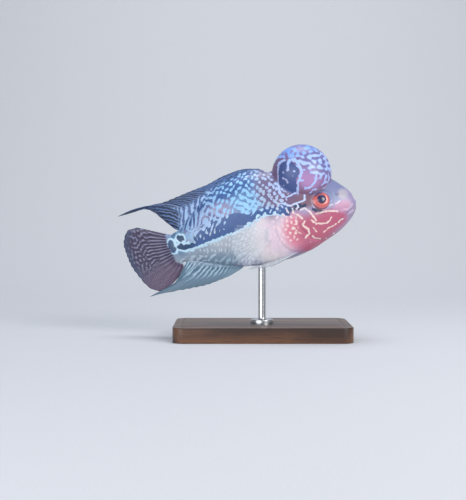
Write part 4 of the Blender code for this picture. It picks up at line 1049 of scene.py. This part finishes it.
TAIL_RAYS = 16
TAIL_TIPS = (
    (0.0, 173, 28.6), (0.067, 180.5, 29.6), (0.133, 185.6, 26.4), (0.267, 190.2, 18.6), (0.5, 191.4, 4.0),
    (0.733, 187.4, -13.8), (0.8, 183.8, -21.0), (0.867, 175.0, -27.0), (0.933, 165.0, -25.0),
    (1.0, 155.5, -21.0),
)
tail_edge = edge_curve(TAIL_RAYS, TAIL_TIPS)


def tail_root(ray):
    back, belly, half = section(BODY_LENGTH)
    rise = back - 0.35 - (back + belly - 0.7) * ray / (TAIL_RAYS - 1)
    return np.stack([0 * ray + BODY_LENGTH - 0.7, 0 * ray, rise], 1)


def tail_tip(ray):
    tip = tail_edge(ray)
    tip[:, 1] = 2 * np.cos(tip[:, 2] / 28 * np.pi / 2)
    return tip


def tail_bow(ray):
    """The lowest rays bulge forward under the stalk."""
    share = np.maximum(0, ray - 13) / 2
    return (share ** 1.7)[:, None] * (-0.6, 0, -1.5)


def tail_thick(ray):
    return np.maximum(1.86 * flank_side(BODY_LENGTH, tail_root(ray)[:, 2]), 0.8)


tail = fin_blade("tail_fin", TAIL_RAYS, tail_root, tail_tip, tail_bow,
                 tail_thick, 0.012, 1)

PECTORAL_RAYS, PECTORAL_AT, PECTORAL_LENGTH = 13, (68, -12), 35
PELVIC_RAYS, PELVIC_AT, PELVIC_LENGTHS = 6, (52, 5.2), (25, 47, 40, 33, 27, 21)
for left, side_name in ((1, "left"), (-1, "right")):
    reach, rise = PECTORAL_AT
    side = float(flank_side(reach, rise))

    def pectoral_root(ray):
        share = ray / (PECTORAL_RAYS - 1)
        return np.stack([reach + 2.2 * share, 0 * ray + left * (side - 1.2), rise + 4 - 8 * share], 1)

    def pectoral_tip(ray):
        share = ray / (PECTORAL_RAYS - 1)
        fan, out = np.radians(16 - 58 * share), math.radians(15)
        length = PECTORAL_LENGTH * (0.62 + 0.38 * np.sin(np.pi * (0.12 + 0.7 * share)) ** 0.8)
        way = np.stack([np.cos(fan) * math.cos(out), 0 * ray + left * math.sin(out), np.sin(fan)], 1)
        return pectoral_root(ray) + way * length[:, None]

    fin_blade("pectoral_fin_" + side_name, PECTORAL_RAYS, pectoral_root, pectoral_tip,
              lambda ray: np.stack([0 * ray, 0 * ray + left * 1.2, 0 * ray], 1),
              lambda ray: np.full(len(ray), 1.6), 0.015, 1)

    def pelvic_root(ray):
        share = ray / (PELVIC_RAYS - 1)
        depth = float(section(PELVIC_AT[0])[1]) * 0.93
        return np.stack([PELVIC_AT[0] + 1.5 * share, left * (PELVIC_AT[1] + 3.4 * (1 - share)), 1.2 - depth + 0 * ray], 1)

    def pelvic_tip(ray):
        share = ray / (PELVIC_RAYS - 1)
        length = smooth_curve(ray, range(PELVIC_RAYS), PELVIC_LENGTHS)
        return pelvic_root(ray) + np.stack([length, left * 2.6 * (1 - 1.3 * share), -6.6 - 1.8 * share], 1)

    fin_blade("pelvic_fin_" + side_name, PELVIC_RAYS, pelvic_root, pelvic_tip,
              lambda ray: np.stack([0 * ray, 0 * ray, 0 * ray - 0.9], 1),
              lambda ray: np.full(len(ray), 1.6), 0.05, 1)

# Fin paint: grey-blue tinted resin, a satin skin over fine bony joints. The body's own markings run
# on over the root, then pale stripes follow the soft rays, lines 2.4 mm apart follow the dorsal
# fin's spiny edge, and worms break the tail's stripes up; the margins stay plain and paler.
FIN_LOOKS = {
    "dorsal_fin_blade": dict(
        ground=((0.0, "1a2b50"), (0.45, "101d3a"), (0.85, "111d39"), (1.0, "263452")), stripe="5674a6",
        striped=((0.0, "ffffff"), (0.8, "e0e0e0"), (1.0, "303030")), root=(0.10, 0.34), thin=0.15, rays=1.5),
    "anal_fin_blade": dict(
        ground=((0.0, "426078"), (0.4, "54738b"), (0.7, "5c768a"), (1.0, "566f80")), stripe="a6c2d2",
        striped=((0.0, "ffffff"), (0.38, "e0e0e0"), (0.62, "202020"), (1.0, "000000")), root=(0.04, 0.2), thin=0.1, rays=1.0),
    "tail_fin_blade": dict(
        ground=((0.0, "443a54"), (0.4, "352c44"), (0.85, "38324c"), (1.0, "3c4a66")), stripe="7c7c98",
        striped=((0.0, "ffffff"), (0.85, "f0f0f0"), (0.97, "808080"), (1.0, "101010")), root=(0.09, 0.16), thin=0.35, rays=1.0),
}
for blade_name, look in FIN_LOOKS.items():
    fin_paint, tree, shader = new_material("tinted_resin_" + blade_name, Roughness=0.4, Coat_Weight=0.15,
                                           Coat_Roughness=0.25, Specular_IOR_Level=0.35)
    painted, covered, place = marked(tree)
    web = add(tree, "Attribute", out=1, attribute_name="web")
    number, run, short = add(tree, "SeparateXYZ", {0: web}).node.outputs
    out = add(tree, "Attribute", out=2, attribute_name="out")
    ridge = add(tree, "Attribute", out=2, attribute_name="ridge")
    ground = add(tree, "ValToRGB", {0: out}, steps=look["ground"])
    striped = add(tree, "ValToRGB", {0: out}, steps=look["striped"])
    stripe = add(tree, "RGB")
    stripe.default_value = linear(look["stripe"])
    flow = add(tree, "VectorMath", {0: web, 1: (1.0, 0.22, 0.0)}, operation="MULTIPLY")
    sway = add(tree, "TexNoise", {"Vector": flow, "Scale": 1.3, "Detail": 2.0})
    sway = add(tree, "Math", {0: sway, 1: 0.5}, operation="SUBTRACT")
    if blade_name == "tail_fin_blade":
        straight = add(tree, "MapRange", {0: out, 1: 0.4, 2: 0.75, 3: 1.0, 4: 0.1})
        lobe = add(tree, "MapRange", {0: number, 1: 9.0, 2: 12.5}, interpolation_type="SMOOTHSTEP")
        fine = add(tree, "MapRange", {0: lobe, 3: 1.0, 4: 1.9})
        flow = add(tree, "VectorMath", {0: web, 1: (1.0, 0.36, 0.0)}, operation="MULTIPLY")
        flow = add(tree, "VectorMath", {0: flow, "Scale": fine}, operation="SCALE")
        worms = add(tree, "TexGabor", {"Vector": flow, "Scale": 0.31, "Frequency": 3.2,
                                       "Anisotropy": straight, "Orientation": 0.0})
        worms = add(tree, "MapRange", {0: worms, 1: 0.3, 2: 0.7, 3: -0.7, 4: 0.9})
        rows = add(tree, "Math", {0: sway, 1: 0.25, 2: number}, operation="MULTIPLY_ADD")
        rows = add(tree, "Math", {0: rows, 1: 2 * math.pi}, operation="MULTIPLY")
        rows = add(tree, "Math", {0: rows}, operation="COSINE")
        breaks = add(tree, "MapRange", {0: out, 1: 0.3, 2: 0.55}, interpolation_type="SMOOTHSTEP")
        stripes = add(tree, "Mix", {0: breaks, 2: rows, 3: worms})
        fade = add(tree, "MapRange", {0: lobe, 3: 1.0, 4: 0.4})
        striped = add(tree, "Math", {0: striped, 1: fade}, operation="MULTIPLY")
        rosy = add(tree, "Math", {0: lobe, 1: 0.75}, operation="MULTIPLY")
        ground = add(tree, "MixRGB", {0: rosy, 1: ground, 2: linear("5e4a62")})
    else:
        shifted = add(tree, "Math", {0: sway, 1: 0.7, 2: number}, operation="MULTIPLY_ADD")
        turned = add(tree, "Math", {0: shifted, 1: 2 * math.pi * look["rays"]}, operation="MULTIPLY")
        stripes = add(tree, "Math", {0: turned}, operation="COSINE")
    if blade_name == "dorsal_fin_blade":
        rows = add(tree, "Math", {0: sway, 1: 4.0, 2: short}, operation="MULTIPLY_ADD")
        rows = add(tree, "Math", {0: rows, 1: 2 * math.pi / 2.4}, operation="MULTIPLY")
        rows = add(tree, "Math", {0: rows}, operation="COSINE")
        soft = add(tree, "MapRange", {0: number, 1: 13.0, 2: 16.0}, interpolation_type="SMOOTHSTEP")
        stripes = add(tree, "Mix", {0: soft, 2: rows, 3: stripes})
        ground = add(tree, "MixRGB", {0: soft, 1: linear("223c68"), 2: ground})
        stripe = add(tree, "MixRGB", {0: soft, 1: linear("5c80b8"), 2: stripe})
        front = add(tree, "MapRange", {0: number, 1: 3.0, 2: 10.0, 3: 0.45, 4: 0.0})
        out = add(tree, "Math", {0: out, 1: front}, operation="SUBTRACT")
    if blade_name == "anal_fin_blade":
        rear = add(tree, "MapRange", {0: number, 1: 2.5, 2: 6.0}, interpolation_type="SMOOTHSTEP")
        striped = add(tree, "Math", {0: striped, 1: rear}, operation="MULTIPLY")
        ground = add(tree, "MixRGB", {0: rear, 1: linear("6b8799"), 2: ground})
    drawn = add(tree, "MapRange", {0: stripes, 1: look["thin"] - 0.3, 2: look["thin"] + 0.35}, interpolation_type="SMOOTHSTEP")
    drawn = add(tree, "Math", {0: drawn, 1: striped}, operation="MULTIPLY")
    colour = add(tree, "MixRGB", {0: drawn, 1: ground, 2: stripe})
    begins, ends = look["root"]
    uneven = add(tree, "Math", {0: sway, 1: 0.14, 2: out}, operation="MULTIPLY_ADD")
    free = add(tree, "MapRange", {0: uneven, 1: begins, 2: ends}, interpolation_type="SMOOTHSTEP")
    colour = add(tree, "MixRGB", {0: free, 1: painted, 2: colour})
    tree.links.new(colour, shader.inputs["Base Color"])
    joints = add(tree, "Math", {0: run, 1: 2 * math.pi / 0.9}, operation="MULTIPLY")
    joints = add(tree, "Math", {0: joints}, operation="SINE")
    joints = add(tree, "Math", {0: joints, 1: ridge}, operation="MULTIPLY")
    relief = add(tree, "Bump", {"Height": joints, "Strength": 0.2, "Distance": 0.0002})
    tree.links.new(relief, shader.inputs["Normal"])
    bpy.data.objects[blade_name].data.materials.append(fin_paint)

# Clear fins: the breast fins are all but clear resin and the belly fins milkier, both paler along
# the rays. Their roots carry the skin's paint.
for fin_name, web_seen, ray_seen in (("pectoral_fin_", 0.08, 0.24), ("pelvic_fin_", 0.3, 0.62)):
    clear, tree, shader = new_material("clear_resin_" + fin_name + "web", Roughness=0.25, IOR=1.45)
    painted, covered, place = marked(tree)
    ridge = add(tree, "Attribute", out=2, attribute_name="ridge")
    out = add(tree, "Attribute", out=2, attribute_name="out")
    milky = add(tree, "MapRange", {0: ridge, 1: 0.1, 2: 0.9, 3: web_seen, 4: ray_seen})
    thin = add(tree, "MapRange", {0: out, 1: 0.0, 2: 1.0, 3: 1.2, 4: 0.55})
    see = add(tree, "Math", {0: milky, 1: thin}, operation="MULTIPLY")
    free = add(tree, "MapRange", {0: out, 1: 0.02, 2: 0.18}, interpolation_type="SMOOTHSTEP")
    colour = add(tree, "MixRGB", {0: free, 1: painted, 2: linear("dfe6ee")})
    tree.links.new(colour, shader.inputs["Base Color"])
    see = add(tree, "Mix", {0: free, 2: 0.95, 3: see})
    tree.links.new(see, shader.inputs["Alpha"])
    for side_name in ("left", "right"):
        bpy.data.objects[fin_name + side_name + "_blade"].data.materials.append(clear)

# Camera at the photograph's viewing angle: level with the fish, square to its flank.
VIEW_X, VIEW_Z, VIEW_AWAY, VIEW_ABOVE = -23.2, 70.4, 900, math.radians(2)
lens_data = bpy.data.cameras.new("camera")
lens_data.lens = 81
lens_data.sensor_width = 36
lens_data.clip_start, lens_data.clip_end = 0.01, 20
camera = bpy.data.objects.new("camera", lens_data)
away = Vector((0, -math.cos(VIEW_ABOVE), math.sin(VIEW_ABOVE))) * VIEW_AWAY
camera.location = (Vector((VIEW_X, 0, VIEW_Z)) + away) * MM
camera.rotation_euler = (math.pi / 2 - VIEW_ABOVE, 0, 0)
bpy.context.scene.collection.objects.link(camera)
bpy.context.scene.camera = camera

# Studio: a roll of pale paper that runs under the stand and curves up behind it, soft boxes round
# the fish and a cool one overhead, as light falls from above into a tank.
SWEEP_WIDE, SWEEP_FRONT, SWEEP_BACK, SWEEP_HIGH, SWEEP_BEND = 5, -2, 1.3, 2.6, 0.9
bpy.ops.object.select_all(action="DESELECT")
bpy.ops.mesh.primitive_plane_add(size=1, location=(0, (SWEEP_FRONT + SWEEP_BACK) / 2, 0))
sweep = bpy.context.object
sweep.name = "paper_sweep"
sweep.scale = (SWEEP_WIDE, SWEEP_BACK - SWEEP_FRONT, 1)
bpy.ops.object.transform_apply(location=True, rotation=False, scale=True)
select_parts(sweep, "edges", lambda e: min(v.co.y for v in e.verts) > SWEEP_BACK - 0.01)
bpy.ops.mesh.extrude_region_move(TRANSFORM_OT_translate={"value": (0, 0, SWEEP_HIGH)})
select_parts(sweep, "edges", lambda e: min(v.co.y for v in e.verts) > SWEEP_BACK - 0.01
             and max(v.co.z for v in e.verts) < 0.01)
bpy.ops.mesh.bevel(offset=SWEEP_BEND, segments=24, affect="EDGES")
bpy.ops.object.mode_set(mode="OBJECT")
sweep.data.shade_smooth()
paper, tree, shader = new_material("matte_paper", Roughness=0.9)
place = add(tree, "TexCoord", out=3)
tooth = add(tree, "TexNoise", {"Vector": place, "Scale": 600.0, "Detail": 2.0})
paper_colour = add(tree, "ValToRGB", {0: tooth}, steps=((0.0, "c3c6cb"), (1.0, "cbced3")))
tree.links.new(paper_colour, shader.inputs["Base Color"])
sweep.data.materials.append(paper)
world = bpy.data.worlds.new("studio")
bpy.context.scene.world = world
world.use_nodes = True
world.node_tree.nodes["Background"].inputs["Color"].default_value = linear("e2e6ee")
world.node_tree.nodes["Background"].inputs["Strength"].default_value = 0.34
for name, place, size, power, tint in (
    ("key_box", (0.7, -0.75, 0.5), 0.6, 9.0, "fffdfa"),
    ("fill_box", (-0.5, -0.75, 0.12), 0.7, 5.6, "f8f9ff"),
    ("top_box", (0.0, 0.05, 0.8), 0.5, 1.2, "e4ecff"),
    ("sweep_box", (0.0, 0.3, 1.4), 0.8, 11.0, "fbfcff"),
):
    light = bpy.data.lights.new(name, "AREA")
    light.size = size
    light.energy = power
    light.color = linear(tint)[:3]
    lamp = bpy.data.objects.new(name, light)
    lamp.location = place
    aim = Vector((0, 1.0, 0.3)) if name == "sweep_box" else Vector((0, 0, 0.09))
    lamp.rotation_euler = (aim - Vector(place)).to_track_quat("-Z", "Y").to_euler()
    bpy.context.scene.collection.objects.link(lamp)
bpy.context.scene.view_settings.view_transform = "Standard"
